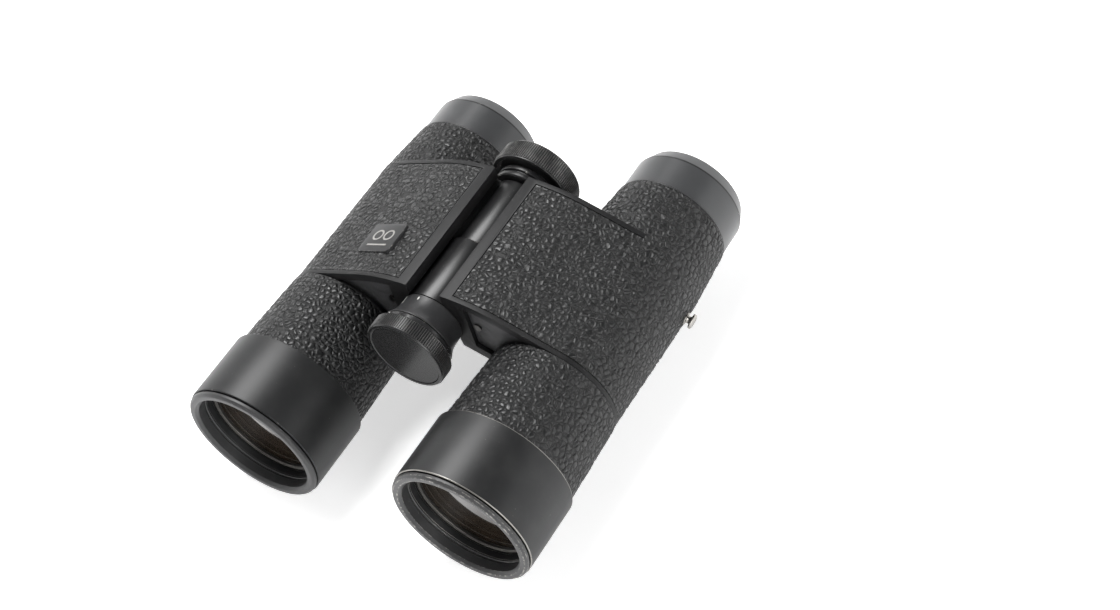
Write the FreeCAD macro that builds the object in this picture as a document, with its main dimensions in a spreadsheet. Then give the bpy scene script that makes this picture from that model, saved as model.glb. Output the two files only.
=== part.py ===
import FreeCAD, Part
import Sketcher
import math
import os
import re

# Pocket-sized roof prism binoculars with a single hinge, a focus wheel and a front dioptre knob.
# X runs across the two barrels, Y from the objectives to the oculars, Z up.
# The origin is under the middle of the instrument, on the plane it stands on.
# Stations along Y are counted from the front rim; heights are counted from the barrel axes.

doc = FreeCAD.newDocument("binoculars")
sheet = doc.addObject("Spreadsheet::Sheet", "Sizes")

sizes = {
    # barrels and housing
    "barrel_spacing": 74.8, "hood_radius": 22.5, "hood_length": 24.1, "tube_exposed": 27.4,
    "wing_length": 49.0, "tail_length": 19.2, "ocular_length": 15.7, "body_radius": 20.2,
    "tail_fall": 1.5, "leather": 0.9, "wall": 1.8, "wing_slope": 20.5, "crown_radius": 58.0,
    "wing_gap": 12.0, "plate_thickness": 2.2, "edge_border": 1.5, "inner_border": 3.5,
    "wall_inset": 0.8, "box_inset": 1.44, "shoulder_height": 5.5, "shoulder_depth": 2.7, "seam": 0.15,
    # objective end
    "lip_width": 3.4, "lip_length": 1.6, "lip_chamfer": 1.0, "lip_relief": 0.4, "groove": 0.4,
    "ring_seat": 1.5, "ring_length": 5.0, "throat_length": 7.0, "hood_wall": 2.1, "hood_chamfer": 0.3,
    "cell_length": 10.0, "cell_lip": 1.5, "retainer_length": 1.4, "glass_relief": 0.12,
    "retainer_width": 1.4, "cell_wall": 1.5, "lens_step": 0.7, "crown_edge": 2.0,
    "crown_front_sag": 1.1, "crown_rear_sag": 1.4, "flint_rear_sag": 0.4,
    # front tube, with the focusing lens inside
    "tube_step": 1.0, "entry_wall": 1.0, "entry_inset": 0.9, "tube_swell": 0.3, "tube_entry": 2.5,
    "slide_gap": 0.05, "carrier_length": 18.6, "carrier_wall": 2.0, "focus_cell_length": 6.0,
    "focus_cell_wall": 2.0, "focus_lens_edge": 3.0, "focus_lens_sag": 0.8, "cell_lead": 4.0,
    "arm_width": 3.6, "arm_height": 4.4, "arm_front": 5.5, "focus_travel": 1.5, "arm_clearance": 0.4,
    "arm_play": 0.21,
    # front plate and its screw
    "plate_inset": 1.4, "front_plate": 1.5, "screw_radius": 1.3, "screw_shank": 0.78,
    "screw_head": 0.5, "screw_inset": 2.08, "screw_rise": 0.78,
    # prisms and their cradle
    "cradle_wall": 1.8, "cradle_air": 0.8, "prism_front_station": 14.5, "prism_lead": 1.5,
    "prism_air": 1.2, "prism_tail": 1.3, "cradle_side": 15.0, "rear_wall": 2.5, "light_path": 8.5,
    # ocular end
    "tail_wall": 1.2, "ocular_tube_wall": 1.6, "ocular_inset": 0.5, "ocular_step": 0.25,
    "ocular_gap": 0.2, "ocular_band": 11.0, "ocular_taper": 1.8, "ocular_edge": 0.5,
    "ocular_face": 2.9, "mouth_slope": 2.0, "mouth_depth": 2.4, "ring_cover": 4.9,
    "field_station": 9.0, "field_edge": 2.0, "field_sag": 2.2, "sleeve_wall": 2.0, "eye_edge": 4.6,
    "eye_front_sag": 2.0, "eye_rear_sag": 0.4, "retainer_rim": 0.7, "retainer_sleeve": 7.5,
    "retainer_step": 0.3,
    # hinge
    "hinge_depth": 12.2, "axle_radius": 6.5, "axle_bore": 5.2, "front_knuckle_radius": 9.4,
    "rear_knuckle_radius": 8.3, "knuckle_clearance": 0.5, "front_knuckle": 23.0, "knuckle_inset": 0.5,
    "washer": 0.6, "washer_gap": 0.1, "hinge_fit": 0.05, "web_height": 13.0, "collar_gap": 0.5,
    "collar_radius": 10.3, "collar_length": 4.3, "collar_groove": 0.6, "collar_groove_depth": 0.7,
    "window_rise": 0.8,
    # focus wheel and its drive
    "wheel_radius": 13.6, "wheel_length": 7.1, "wheel_gap": 0.3, "wheel_chamfer": 0.3,
    "wheel_dish": 1.6, "wheel_rim": 1.4, "hub_radius": 7.0, "wheel_journal": 6.0, "cap_radius": 8.0,
    "cap_seat": 0.9, "cap_rise": 0.3, "spindle_radius": 2.0, "spool_core": 2.4, "spool_flange": 1.5,
    "spindle_end": 5.0,
    # index neck and dioptre knob
    "neck_gap": 0.4, "neck_rear_radius": 9.8, "neck_front_radius": 11.6, "neck_length": 8.2,
    "neck_flare": 4.0, "neck_mid_radius": 10.2, "neck_overlap": 4.6, "knob_bore": 4.5,
    "knob_radius": 13.0, "knob_length": 5.2, "knob_step": 1.7, "knob_gap": 0.3, "knob_chamfer": 0.3,
    "knob_face": 0.2, "knob_rim": 0.8, "knob_journal": 3.7, "screw_rod": 3.5, "screw_rod_length": 6.2,
    # strap studs
    "stud_station": 42.3, "stud_tilt": 19.0, "stud_length": 2.6, "stud_head": 2.4,
    "stud_head_length": 1.0, "stud_neck": 1.3, "stud_base": 2.1, "stud_base_length": 0.3,
    "stud_chamfer": 0.3,
    # badge plate
    "badge_x": 25.8, "badge_station": 15.0, "badge_width": 14.2, "badge_length": 11.6,
    "badge_corner": 1.6, "badge_thickness": 1.25,
}
for row, (alias, number) in enumerate(sizes.items(), start=1):
    sheet.set(f"A{row}", alias)
    sheet.set(f"B{row}", str(number))
    sheet.setAlias(f"B{row}", alias)
doc.recompute()

# Sizes that follow from others, by name.
derived = {
    "tail_radius": "body_radius - tail_fall",
    "tube_bore": "body_radius - leather - entry_inset - entry_wall",
    "prism_half": "(body_radius - leather - wall - cradle_air) / sqrt(2) - cradle_wall",
    "ocular_tube_radius": "tail_radius - leather - tail_wall",
    "ocular_radius": "tail_radius - ocular_inset",
    "ocular_rim_radius": "ocular_radius - ocular_taper",
    "ocular_mouth": "ocular_rim_radius - ocular_face",
    "eye_opening": "ocular_mouth - mouth_slope",
    "eye_lens_radius": "ocular_tube_radius - ocular_tube_wall - sleeve_wall",
    "retainer_opening": "eye_opening + retainer_step",
    "stud_reach": "body_radius + stud_length",
}

# Worked-out places, as expressions of the driving sizes.
barrel_x = "(barrel_spacing / 2)"
entry_radius = "(tube_bore + entry_wall)"
wing_front = "(hood_length + tube_exposed)"
wing_rear = f"({wing_front} + wing_length)"
tail_rear = f"({wing_rear} + tail_length)"
overall = f"({tail_rear} + ocular_length)"
opening = "(hood_radius - lip_width)"
cell_radius = "(hood_radius - hood_wall)"
slope = "(wing_slope * 1deg)"
wing_x = "(wing_gap / 2)"
crown_z = (f"(({barrel_x} * sin({slope}) + body_radius - crown_radius - {wing_x} * sin({slope}))"
           f" / cos({slope}))")
wing_top = f"(crown_radius + {crown_z})"
hinge_z = f"({wing_top} - hinge_depth)"
wall_x = f"({barrel_x} - body_radius + wall_inset)"
reach = "(front_knuckle_radius + knuckle_clearance)"
box_x = f"({reach} + wall + box_inset)"
arm_tilt = f"atan2({hinge_z}; {barrel_x})"
arm_span = f"sqrt({hinge_z} * {hinge_z} + {barrel_x} * {barrel_x})"


def bound(text):
    """Point every alias in an expression at the sheet, and write out the sizes that follow from others."""
    def place(word):
        if word[0] in derived:
            return f"({bound(derived[word[0]])})"
        return f"Sizes.{word[0]}" if word[0] in sizes else word[0]
    return re.sub(r"[a-z][a-z0-9_]*", place, text)


def value(text):
    """The present number of an expression, in millimetres or degrees."""
    number = sheet.evalExpression(bound(text))
    return float(getattr(number, "Value", number))


def body(label, x="0", station="0", z="0"):
    """A new sub-part whose own origin lies at x, at a station and at a height above the barrel axes."""
    made = doc.addObject("PartDesign::Body", label)
    made.Label = label
    made.setExpression("Placement.Base.x", bound(x))
    made.setExpression("Placement.Base.y", bound(f"{station} - {overall} / 2"))
    made.setExpression("Placement.Base.z", bound(f"hood_radius + {z}"))
    return made


def blank_sketch(owner, plane, shift):
    """An empty sketch on one of the body's origin planes, moved within its own axes."""
    sketch = owner.newObject("Sketcher::SketchObject", f"{owner.Name}_sketch")
    support = [item for item in owner.Origin.OriginFeatures if item.Role == plane][0]
    sketch.AttachmentSupport = [(support, "")]
    sketch.MapMode = "FlatFace"
    for axis, text in shift.items():
        sketch.setExpression(f"AttachmentOffset.Base.{axis}", bound(text))
    return sketch


def arc_geometry(start, end, radius, turn):
    """A circular arc between two points; turn is 1 anticlockwise and -1 clockwise."""
    half = (end - start) * 0.5
    normal = FreeCAD.Vector(-half.y, half.x, 0).normalize() * turn
    centre = start + half + normal * math.sqrt(max(radius ** 2 - half.Length ** 2, 0))
    first, last = (start, end) if turn > 0 else (end, start)
    begin = math.atan2(first.y - centre.y, first.x - centre.x)
    finish = math.atan2(last.y - centre.y, last.x - centre.x)
    if finish < begin:
        finish += 2 * math.pi
    circle = Part.Circle(centre, FreeCAD.Vector(0, 0, 1), radius)
    return Part.ArcOfCircle(circle, begin, finish)


def draw(sketch, corners, side=1):
    """A closed outline. A corner is (x, y), or (x, y, radius, turn) where an arc leads to the next."""
    spots = [FreeCAD.Vector(side * value(corner[0]), value(corner[1]), 0) for corner in corners]
    ends = []
    for index, corner in enumerate(corners):
        start = spots[index]
        end = spots[(index + 1) % len(spots)]
        if len(corner) == 2:
            sketch.addGeometry(Part.LineSegment(start, end))
            ends.append((1, 2))
        else:
            turn = corner[3] * side
            sketch.addGeometry(arc_geometry(start, end, value(corner[2]), turn))
            ends.append((1, 2) if turn > 0 else (2, 1))
    for index in range(len(corners)):
        following = (index + 1) % len(corners)
        joint = Sketcher.Constraint("Coincident", index, ends[index][1], following, ends[following][0])
        sketch.addConstraint(joint)
    for index, corner in enumerate(corners):
        place = (-1, 1, index, ends[index][0])
        bind(sketch, Sketcher.Constraint("DistanceX", *place, spots[index].x), f"{side} * ({corner[0]})")
        bind(sketch, Sketcher.Constraint("DistanceY", *place, spots[index].y), corner[1])
        if len(corner) > 2:
            bind(sketch, Sketcher.Constraint("Radius", index, value(corner[2])), corner[2])


def bind(sketch, constraint, text):
    number = sketch.addConstraint(constraint)
    sketch.setExpression(f"Constraints[{number}]", bound(text))


def circles(sketch, x, y, *radii):
    """Concentric circles about a point of the sketch."""
    for index, radius in enumerate(radii):
        centre = FreeCAD.Vector(value(x), value(y), 0)
        sketch.addGeometry(Part.Circle(centre, FreeCAD.Vector(0, 0, 1), value(radius)))
        bind(sketch, Sketcher.Constraint("DistanceX", -1, 1, index, 3, centre.x), x)
        bind(sketch, Sketcher.Constraint("DistanceY", -1, 1, index, 3, centre.y), y)
        bind(sketch, Sketcher.Constraint("Radius", index, value(radius)), radius)


def feature(owner, kind, sketch):
    made = owner.newObject(f"PartDesign::{kind}", f"{owner.Name}_{kind.lower()}")
    made.Profile = sketch
    return made


def spin(owner, corners, kind="Revolution", axis="V_Axis", side=1, x="0", y="0"):
    """Turn an outline of (radius, station) corners about the Y axis, or (x, radius) about the X axis."""
    sketch = blank_sketch(owner, "XY_Plane", {"x": x, "y": y})
    draw(sketch, corners, side)
    turned = feature(owner, kind, sketch)
    turned.ReferenceAxis = (sketch, [axis])
    turned.Angle = 360
    return turned


def run(owner, first, last, kind="Pad", corners=None, rings=None, side=1):
    """Carry a section across the XZ plane from one station to another, as metal or as a cut."""
    sketch = blank_sketch(owner, "XZ_Plane", {"z": f"-({first})"})
    if corners:
        draw(sketch, corners, side)
    else:
        circles(sketch, *rings)
    made = feature(owner, kind, sketch)
    made.Reversed = kind == "Pad"
    made.setExpression("Length", bound(f"({last}) - ({first})"))
    return made


def turned_part(label, corners, x="0", z="0"):
    owner = body(label, x, "0", z)
    spin(owner, corners)
    return owner


def lens(label, x, radius, front, edge, front_sag, rear_sag):
    """A lens by the station of its front edge; a positive sag bulges towards larger stations."""
    def bow(sag):
        return f"(({radius}) * ({radius}) + {sag} * {sag}) / (2 * abs({sag}))"
    front_turn = 1 if value(front_sag) > 0 else -1
    rear_turn = -1 if value(rear_sag) > 0 else 1
    rear = f"{front} + {edge}"
    return turned_part(label, [
        ("0", f"{front} + {front_sag}", bow(front_sag), -front_turn),
        (radius, front),
        (radius, rear, bow(rear_sag), -rear_turn),
        ("0", f"{rear} + {rear_sag}"),
    ], x)


def skin_corners(depth, first_x):
    """The housing's outer line, at a depth under the leather, from first_x over the top to its foot."""
    crown = f"(crown_radius - {depth})"
    barrel = f"(body_radius - {depth})"
    across = f"({first_x} - {wing_x})"
    return [
        (first_x, f"{crown_z} + sqrt({crown} * {crown} - {across} * {across})", crown, -1),
        (f"{wing_x} + {crown} * sin({slope})", f"{crown_z} + {crown} * cos({slope})"),
        (f"{barrel_x} + {barrel} * sin({slope})", f"{barrel} * cos({slope})", barrel, -1),
        (f"{barrel_x} + {barrel}", "0", barrel, -1),
        (barrel_x, f"-{barrel}"),
    ]


def reverse_corners(corners):
    """The same open line walked the other way, with its arcs handed on to the right corners."""
    walked = []
    for index in range(len(corners) - 1, -1, -1):
        x, y = corners[index][:2]
        before = corners[index - 1] if index > 0 else ()
        walked.append((x, y, before[2], -before[3]) if len(before) > 2 else (x, y))
    return walked


def band(outer_depth, inner_depth, first_x, foot=True):
    """A closed strip between two depths, down to the foot or only to where the wing meets the barrel."""
    outer = skin_corners(outer_depth, first_x)
    inner = skin_corners(inner_depth, first_x)
    if foot:
        outer.append((wall_x, outer[-1][1]))
        inner.append((wall_x, inner[-1][1]))
    else:
        outer = outer[:2] + [outer[2][:2]]
        inner = inner[:2] + [inner[2][:2]]
    return outer + reverse_corners(inner)


box_shoulder = [
    (f"{wall_x} + wall", "shoulder_height + wall"),
    (box_x, "shoulder_height + shoulder_depth + wall"),
]
plate_first = f"({wing_front} + plate_inset)"
plate_last = f"({plate_first} + front_plate)"


def plate_corners():
    """The part of the prism box's front that lies under the wing, above the front tube."""
    roof = skin_corners("(leather + wall)", box_x)
    return roof[:2] + [roof[2][:2], (barrel_x, "0")] + box_shoulder


def housing(label, side):
    """The casting: prism box with its wing, the tail around the ocular tube, and one hinge knuckle."""
    owner = body(label)
    x = f"{side} * {barrel_x}"
    underside = [
        (wall_x, "-(body_radius - leather)"),
        (f"{wall_x} - shoulder_depth + wall_inset", "shoulder_height"),
        (f"{reach} - wall", f"shoulder_height + shoulder_depth"),
        (wing_x, f"{wing_top} - plate_thickness"),
    ]
    run(owner, wing_front, wing_rear, corners=skin_corners("leather", wing_x) + underside, side=side)
    strip_x = f"{wing_x} + inner_border"
    front_edge = band("0", "leather", wing_x)
    rear_edge = band("0", "leather", wing_x, False)
    run(owner, wing_front, f"{wing_front} + edge_border", corners=front_edge, side=side)
    run(owner, f"{wing_rear} - edge_border", wing_rear, corners=rear_edge, side=side)
    strip = skin_corners("0", wing_x)[:1] + skin_corners("0", strip_x)[:1]
    strip_foot = skin_corners("leather", wing_x)[:1] + skin_corners("leather", strip_x)[:1]
    strip_outline = [strip[0], strip[1][:2]] + reverse_corners([strip_foot[0], strip_foot[1][:2]])
    run(owner, wing_front, wing_rear, corners=strip_outline, side=side)
    spin(owner, [
        ("ocular_tube_radius", f"{wing_rear} - rear_wall"),
        ("body_radius - leather", f"{wing_rear} - rear_wall"),
        ("body_radius - leather", wing_rear),
        ("tail_radius - leather", tail_rear),
        ("ocular_tube_radius", tail_rear),
    ], x=x)
    inside = skin_corners("(leather + wall)", box_x) + [
        (f"{wall_x} + wall", "-(body_radius - leather - wall)"), *box_shoulder,
    ]
    run(owner, plate_last, f"{wing_rear} - rear_wall", "Pocket", corners=inside, side=side)
    run(owner, wing_front, plate_last, "Pocket", corners=plate_corners(), side=side)
    run(owner, wing_front, plate_last, "Pocket", rings=(x, "0", entry_radius))
    run(owner, f"{wing_rear} - rear_wall", wing_rear, "Pocket", rings=(x, "0", "ocular_tube_radius"))
    run(owner, wing_front, wing_rear, "Pocket", rings=("0", hinge_z, reach))
    knuckle_end = f"{wing_front} + knuckle_inset + front_knuckle"
    if side > 0:
        first, last = f"{wing_front} + knuckle_inset", knuckle_end
        radius, bore = "front_knuckle_radius", "(axle_radius + hinge_fit)"
    else:
        first, last = f"{knuckle_end} + washer + 2 * washer_gap", wing_rear
        radius, bore = "rear_knuckle_radius", "axle_radius"
    run(owner, first, last, rings=("0", hinge_z, radius))
    web = [
        ("0", f"{hinge_z} - web_height / 2"), (f"{reach} + wall", f"{hinge_z} - web_height / 2"),
        (f"{reach} + wall", f"{hinge_z} + web_height / 2"), ("0", f"{hinge_z} + web_height / 2"),
    ]
    run(owner, first, last, corners=web, side=side)
    run(owner, first, last, "Pocket", rings=("0", hinge_z, bore))
    if side > 0:
        run(owner, arm_room[0], arm_room[1], "Pocket", corners=window_corners(hinge_z, reach))
    room_share = f"(1 - (tube_bore - wall) / {arm_span})"
    room = arm_corners("axle_bore", "arm_clearance", room_share)
    run(owner, arm_room[0], arm_room[1], "Pocket", corners=room, side=side)
    stud_hole(owner, side, x, "(body_radius - leather - 2 * wall)", "stud_neck")
    return owner


arm_first = f"({wing_front} + arm_front)"
arm_last = f"({arm_first} + arm_width)"
arm_room = (f"{arm_first} - focus_travel - arm_clearance", f"{arm_last} + focus_travel + arm_clearance")


def arm_corners(start, margin, share):
    """A straight bar from near the hinge axis towards the barrel axis, share of the whole way."""
    half = f"(arm_height / 2 + {margin})"
    along = (f"cos({arm_tilt})", f"-sin({arm_tilt})")
    aside = (f"sin({arm_tilt})", f"cos({arm_tilt})")
    corners = []
    far = f"{share} * {arm_span}"
    for distance, sign in ((start, -1), (far, -1), (far, 1), (start, 1)):
        corners.append((
            f"({distance}) * {along[0]} + {sign} * {half} * {aside[0]}",
            f"{hinge_z} + ({distance}) * {along[1]} + {sign} * {half} * {aside[1]}",
        ))
    return corners


def window_corners(centre, half_width):
    """The lower half of the hinge, opened so that the focusing arms can swing."""
    top = f"{centre} + window_rise"
    foot = f"{centre} - ({half_width})"
    return [(f"-({half_width})", foot), (half_width, foot), (half_width, top), (f"-({half_width})", top)]


def tube_radius_at(station):
    """Outer radius of the tapered front tube under its leather."""
    fall = "(hood_radius - tube_step - body_radius - tube_swell)"
    return f"(hood_radius - tube_step - leather - {fall} * ({station} - hood_length) / tube_exposed)"


def objective_parts(name, x):
    """Front ring, hood, cell with its cemented pair of lenses, and their retaining ring."""
    turned_part(f"{name}_front_ring", [
        (opening, "lip_chamfer"), (f"{opening} + lip_chamfer", "0"),
        ("hood_radius - lip_chamfer", "0"), ("hood_radius - lip_relief", "lip_chamfer - lip_relief"),
        ("hood_radius - lip_relief", "lip_length"), (f"{opening} + ring_seat", "lip_length"),
        (f"{opening} + ring_seat", "ring_length"), (opening, "ring_length"),
    ], x)
    hood_front = "(lip_length + groove)"
    turned_part(f"{name}_objective_hood", [
        (f"{opening} + ring_seat", hood_front), ("hood_radius - hood_chamfer", hood_front),
        ("hood_radius", f"{hood_front} + hood_chamfer"), ("hood_radius", "hood_length"),
        (cell_radius, "hood_length"), (cell_radius, "throat_length"),
        (opening, "throat_length"), (opening, "ring_length"), (f"{opening} + ring_seat", "ring_length"),
    ], x)
    seat = f"({cell_radius} - cell_wall)"
    glass = f"({seat} - lens_step)"
    cell_end = "(throat_length + cell_length)"
    glass_front = "(throat_length + retainer_length)"
    turned_part(f"{name}_objective_cell", [
        (seat, "throat_length"), (cell_radius, "throat_length"), (cell_radius, cell_end),
        (f"{glass} - lens_step", cell_end), (f"{glass} - lens_step", f"{cell_end} - cell_lip"),
        (glass, f"{cell_end} - cell_lip"), (glass, glass_front), (seat, glass_front),
    ], x)
    turned_part(f"{name}_objective_retainer", [
        (f"{seat} - retainer_width", "throat_length"), (seat, "throat_length"),
        (seat, f"{glass_front} - glass_relief"),
        (f"{seat} - retainer_width", f"{glass_front} - glass_relief"),
    ], x)
    lens(f"{name}_objective_crown", x, glass, glass_front, "crown_edge", "-crown_front_sag", "crown_rear_sag")
    flint_front = f"({glass_front} + crown_edge)"
    flint_edge = f"({cell_end} - cell_lip - {flint_front})"
    lens(f"{name}_objective_flint", x, glass, flint_front, flint_edge, "crown_rear_sag", "-flint_rear_sag")
    turned_part(f"{name}_front_tube", [
        ("tube_bore", cell_end), (cell_radius, cell_end), (cell_radius, "hood_length"),
        (tube_radius_at("hood_length"), "hood_length"), (tube_radius_at(wing_front), wing_front),
        (entry_radius, wing_front), (entry_radius, f"{wing_front} + tube_entry"),
        ("tube_bore", f"{wing_front} + tube_entry"),
    ], x)
    cover_front = "(hood_length + seam)"
    cover_rear = f"({wing_front} - seam)"
    turned_part(f"{name}_leather_front", [
        (tube_radius_at(cover_front), cover_front),
        (f"{tube_radius_at(cover_front)} + leather", cover_front),
        (f"{tube_radius_at(cover_rear)} + leather", cover_rear), (tube_radius_at(cover_rear), cover_rear),
    ], x)


def focusing_parts(name, side, x):
    """The sliding carrier with its arm, the focusing lens cell inside it, and the lens."""
    carrier = "(tube_bore - slide_gap)"
    carrier_bore = f"({carrier} - carrier_wall)"
    carrier_front = f"({arm_last} - carrier_length)"
    owner = body(f"{name}_focus_carrier")
    spin(owner, [
        (carrier_bore, carrier_front), (carrier, carrier_front), (carrier, arm_last), (carrier_bore, arm_last),
    ], x=x)
    arm_share = f"(1 - (tube_bore - slide_gap - carrier_wall / 2) / {arm_span})"
    arm = arm_corners("spool_core + arm_play", "0", arm_share)
    run(owner, arm_first, arm_last, corners=arm, side=side)
    cell = f"({carrier_bore} - slide_gap)"
    glass = f"({cell} - focus_cell_wall)"
    cell_front = f"({carrier_front} + cell_lead)"
    glass_front = f"({cell_front} + cell_lip)"
    glass_rear = f"({glass_front} + focus_lens_edge)"
    turned_part(f"{name}_focus_cell", [
        (glass, cell_front), (cell, cell_front), (cell, f"{cell_front} + focus_cell_length"),
        (f"{glass} - lens_step", f"{cell_front} + focus_cell_length"),
        (f"{glass} - lens_step", glass_rear), (glass, glass_rear),
    ], x)
    sag = "focus_lens_sag"
    lens(f"{name}_focus_lens", x, glass, glass_front, "focus_lens_edge", sag, f"-{sag}")


def front_plate_parts(name, side, x):
    """The flat plate that closes the prism box round the front tube, and its screw."""
    owner = body(f"{name}_front_plate")
    run(owner, plate_first, plate_last, corners=plate_corners(), side=side)
    run(owner, plate_first, plate_last, "Pocket", rings=(x, "0", entry_radius))
    screw_x = f"{side} * ({box_x} + screw_inset)"
    screw_z = f"({hinge_z} + screw_rise)"
    run(owner, plate_first, plate_last, "Pocket", rings=(screw_x, screw_z, "screw_shank"))
    screw = body(f"{name}_plate_screw", screw_x, "0", screw_z)
    spin(screw, [
        ("0", f"{plate_first} - screw_head"), ("screw_radius", f"{plate_first} - screw_head"),
        ("screw_radius", plate_first), ("screw_shank", plate_first),
        ("screw_shank", plate_last), ("0", plate_last),
    ])


def prism_parts(name, x):
    """The two prisms of the straight roof pair on a cradle that is screwed to the box's rear wall."""
    front = f"({wing_front} + prism_front_station)"
    split = f"({front} + prism_lead)"
    far = f"({split} + 2 * prism_half)"
    rear = f"({far} + prism_air + prism_tail)"
    half = "prism_half"
    outlines = {
        "prism_front": [(front, f"-{half}"), (split, f"-{half}"), (far, half), (front, half)],
        "prism_roof": [
            (f"{split} + prism_air", f"-{half}"), (rear, f"-{half}"), (rear, half),
            (f"{far} + prism_air", half),
        ],
    }
    for label, corners in outlines.items():
        owner = body(f"{name}_{label}", x)
        sketch = blank_sketch(owner, "YZ_Plane", {"x": "0"})
        draw(sketch, corners)
        block = feature(owner, "Pad", sketch)
        block.SideType = "Symmetric"
        block.setExpression("Length", bound(f"2 * {half}"))
    cradle = body(f"{name}_prism_cradle", x)
    wide = f"({half} + cradle_wall)"
    channel = [
        (f"-{wide}", f"-{wide}"), (wide, f"-{wide}"), (wide, f"cradle_side - {wide}"),
        (half, f"cradle_side - {wide}"), (half, f"-{half}"), (f"-{half}", f"-{half}"),
        (f"-{half}", f"cradle_side - {wide}"), (f"-{wide}", f"cradle_side - {wide}"),
    ]
    run(cradle, front, rear, corners=channel)
    wall = [(f"-{wide}", f"-{wide}"), (wide, f"-{wide}"), (wide, wide), (f"-{wide}", wide)]
    box_end = f"({wing_rear} - rear_wall)"
    run(cradle, rear, box_end, corners=wall)
    run(cradle, rear, box_end, "Pocket", rings=("0", "0", "light_path"))


def ocular_parts(name, x):
    """Tube, outer ring, field lens, eye lens and the sleeve that holds it."""
    inner = "(ocular_tube_radius - ocular_tube_wall)"
    ring_first = f"({tail_rear} + ocular_gap)"
    tube_last = f"({overall} - ring_cover)"
    tube_first = f"({wing_rear} - rear_wall)"
    turned_part(f"{name}_ocular_tube", [
        (inner, tube_first), ("ocular_tube_radius", tube_first), ("ocular_tube_radius", tube_last),
        (inner, tube_last),
    ], x)
    turned_part(f"{name}_ocular_ring", [
        ("ocular_tube_radius", ring_first), ("ocular_radius + ocular_step", ring_first),
        ("ocular_radius", f"{ring_first} + 2 * ocular_step"),
        ("ocular_radius", f"{ring_first} + ocular_band"),
        ("ocular_rim_radius", f"{overall} - ocular_edge"), ("ocular_rim_radius - ocular_edge", overall),
        ("ocular_mouth", overall), ("eye_opening", f"{overall} - mouth_depth"),
        ("eye_opening", tube_last), ("ocular_tube_radius", tube_last),
    ], x)
    field_front = f"{wing_rear} + field_station"
    lens(f"{name}_field_lens", x, inner, field_front, "field_edge", "-field_sag", "field_sag")
    eye_rear = f"({tube_last} - retainer_rim)"
    turned_part(f"{name}_eye_retainer", [
        ("eye_lens_radius", f"{tube_last} - retainer_sleeve"), (inner, f"{tube_last} - retainer_sleeve"),
        (inner, tube_last), ("retainer_opening", tube_last),
        ("retainer_opening", f"{eye_rear} + glass_relief"),
        ("eye_lens_radius", f"{eye_rear} + glass_relief"),
    ], x)
    lens(f"{name}_eye_lens", x, "eye_lens_radius", f"{eye_rear} - eye_edge", "eye_edge", "-eye_front_sag",
         "eye_rear_sag")


def leather_body(name, side, x):
    """One skin over the wing and round the barrel, carried back over the tail."""
    owner = body(f"{name}_leather_body")
    strip_x = f"{wing_x} + inner_border + seam"
    front = f"({wing_front} + edge_border + seam)"
    rear = f"{wing_rear} - edge_border - seam"
    run(owner, front, rear, corners=band("0", "leather", strip_x), side=side)
    outer = skin_corners("0", strip_x)[2:] + [(wall_x, "-body_radius")]
    inner = skin_corners("leather", strip_x)[2:] + [(wall_x, "-(body_radius - leather)")]
    run(owner, rear, wing_rear, corners=outer + reverse_corners(inner), side=side)
    spin(owner, [
        ("body_radius - leather", wing_rear), ("body_radius", wing_rear), ("tail_radius", tail_rear),
        ("tail_radius - leather", tail_rear),
    ], x=x)
    stud_hole(owner, side, x, "(body_radius - 2 * leather)", "stud_base")
    if side < 0:
        run(owner, f"{badge_y} - badge_length / 2 - seam", f"{badge_y} + badge_length / 2 + seam", "Pocket",
            corners=badge_window())
    return owner


badge_y = f"({wing_front} + badge_station)"


def badge_window():
    """The slot in the leather under the badge plate, across the wing's slope."""
    half = "(badge_width / 2 + seam)"
    low, high = "-2 * leather", "2 * leather"
    corners = []
    for along, up in ((f"-{half}", low), (half, low), (half, high), (f"-{half}", high)):
        corners.append((
            f"-(badge_x + ({along}) * cos({slope}) + ({up}) * sin({slope}))",
            f"{badge_z} - ({along}) * sin({slope}) + ({up}) * cos({slope})",
        ))
    return corners


badge_reach = f"(badge_x - {wing_x})"
badge_z = f"({crown_z} + sqrt(crown_radius * crown_radius - {badge_reach} * {badge_reach}))"


def badge_plate():
    """A plain plate with round corners that lies flat on the wing's slope."""
    foot_x = f"leather * sin({slope}) - badge_x"
    plate = body("badge_plate", foot_x, badge_y, f"{badge_z} - leather * cos({slope})")
    plate.Placement = FreeCAD.Placement(plate.Placement.Base, FreeCAD.Rotation(FreeCAD.Vector(0, -1, 0), 1))
    plate.setExpression("Placement.Rotation.Angle", bound(slope))
    sketch = blank_sketch(plate, "XY_Plane", {"z": "0"})
    half_x, half_y, corner = "badge_width / 2", "badge_length / 2", "badge_corner"
    outline = []
    for sign_x, sign_y in ((1, -1), (1, 1), (-1, 1), (-1, -1)):
        tall = (f"{sign_x} * ({half_x})", f"{sign_y} * ({half_y} - {corner})")
        wide = (f"{sign_x} * ({half_x} - {corner})", f"{sign_y} * ({half_y})")
        if sign_x * sign_y > 0:
            outline += [(*tall, corner, 1), wide]
        else:
            outline += [(*wide, corner, 1), tall]
    draw(sketch, outline)
    pad = feature(plate, "Pad", sketch)
    pad.setExpression("Length", bound("badge_thickness"))


def lean(item, holder, side):
    """Turn a stud or its hole about the barrel axis, so that it points outwards and down."""
    placement = getattr(item, holder)
    placement.Rotation = FreeCAD.Rotation(FreeCAD.Vector(0, side, 0), 1)
    setattr(item, holder, placement)
    item.setExpression(f"{holder}.Rotation.Angle", bound("stud_tilt * 1deg"))


def stud_hole(owner, side, x, first, radius):
    """A round hole for the stud, from a distance off the barrel axis out through the skin."""
    groove = spin(owner, [
        (first, "0"), ("body_radius + leather", "0"), ("body_radius + leather", radius), (first, radius),
    ], "Groove", "H_Axis", side, x, f"{wing_front} + stud_station")
    lean(groove.Profile[0], "AttachmentOffset", side)


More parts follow.
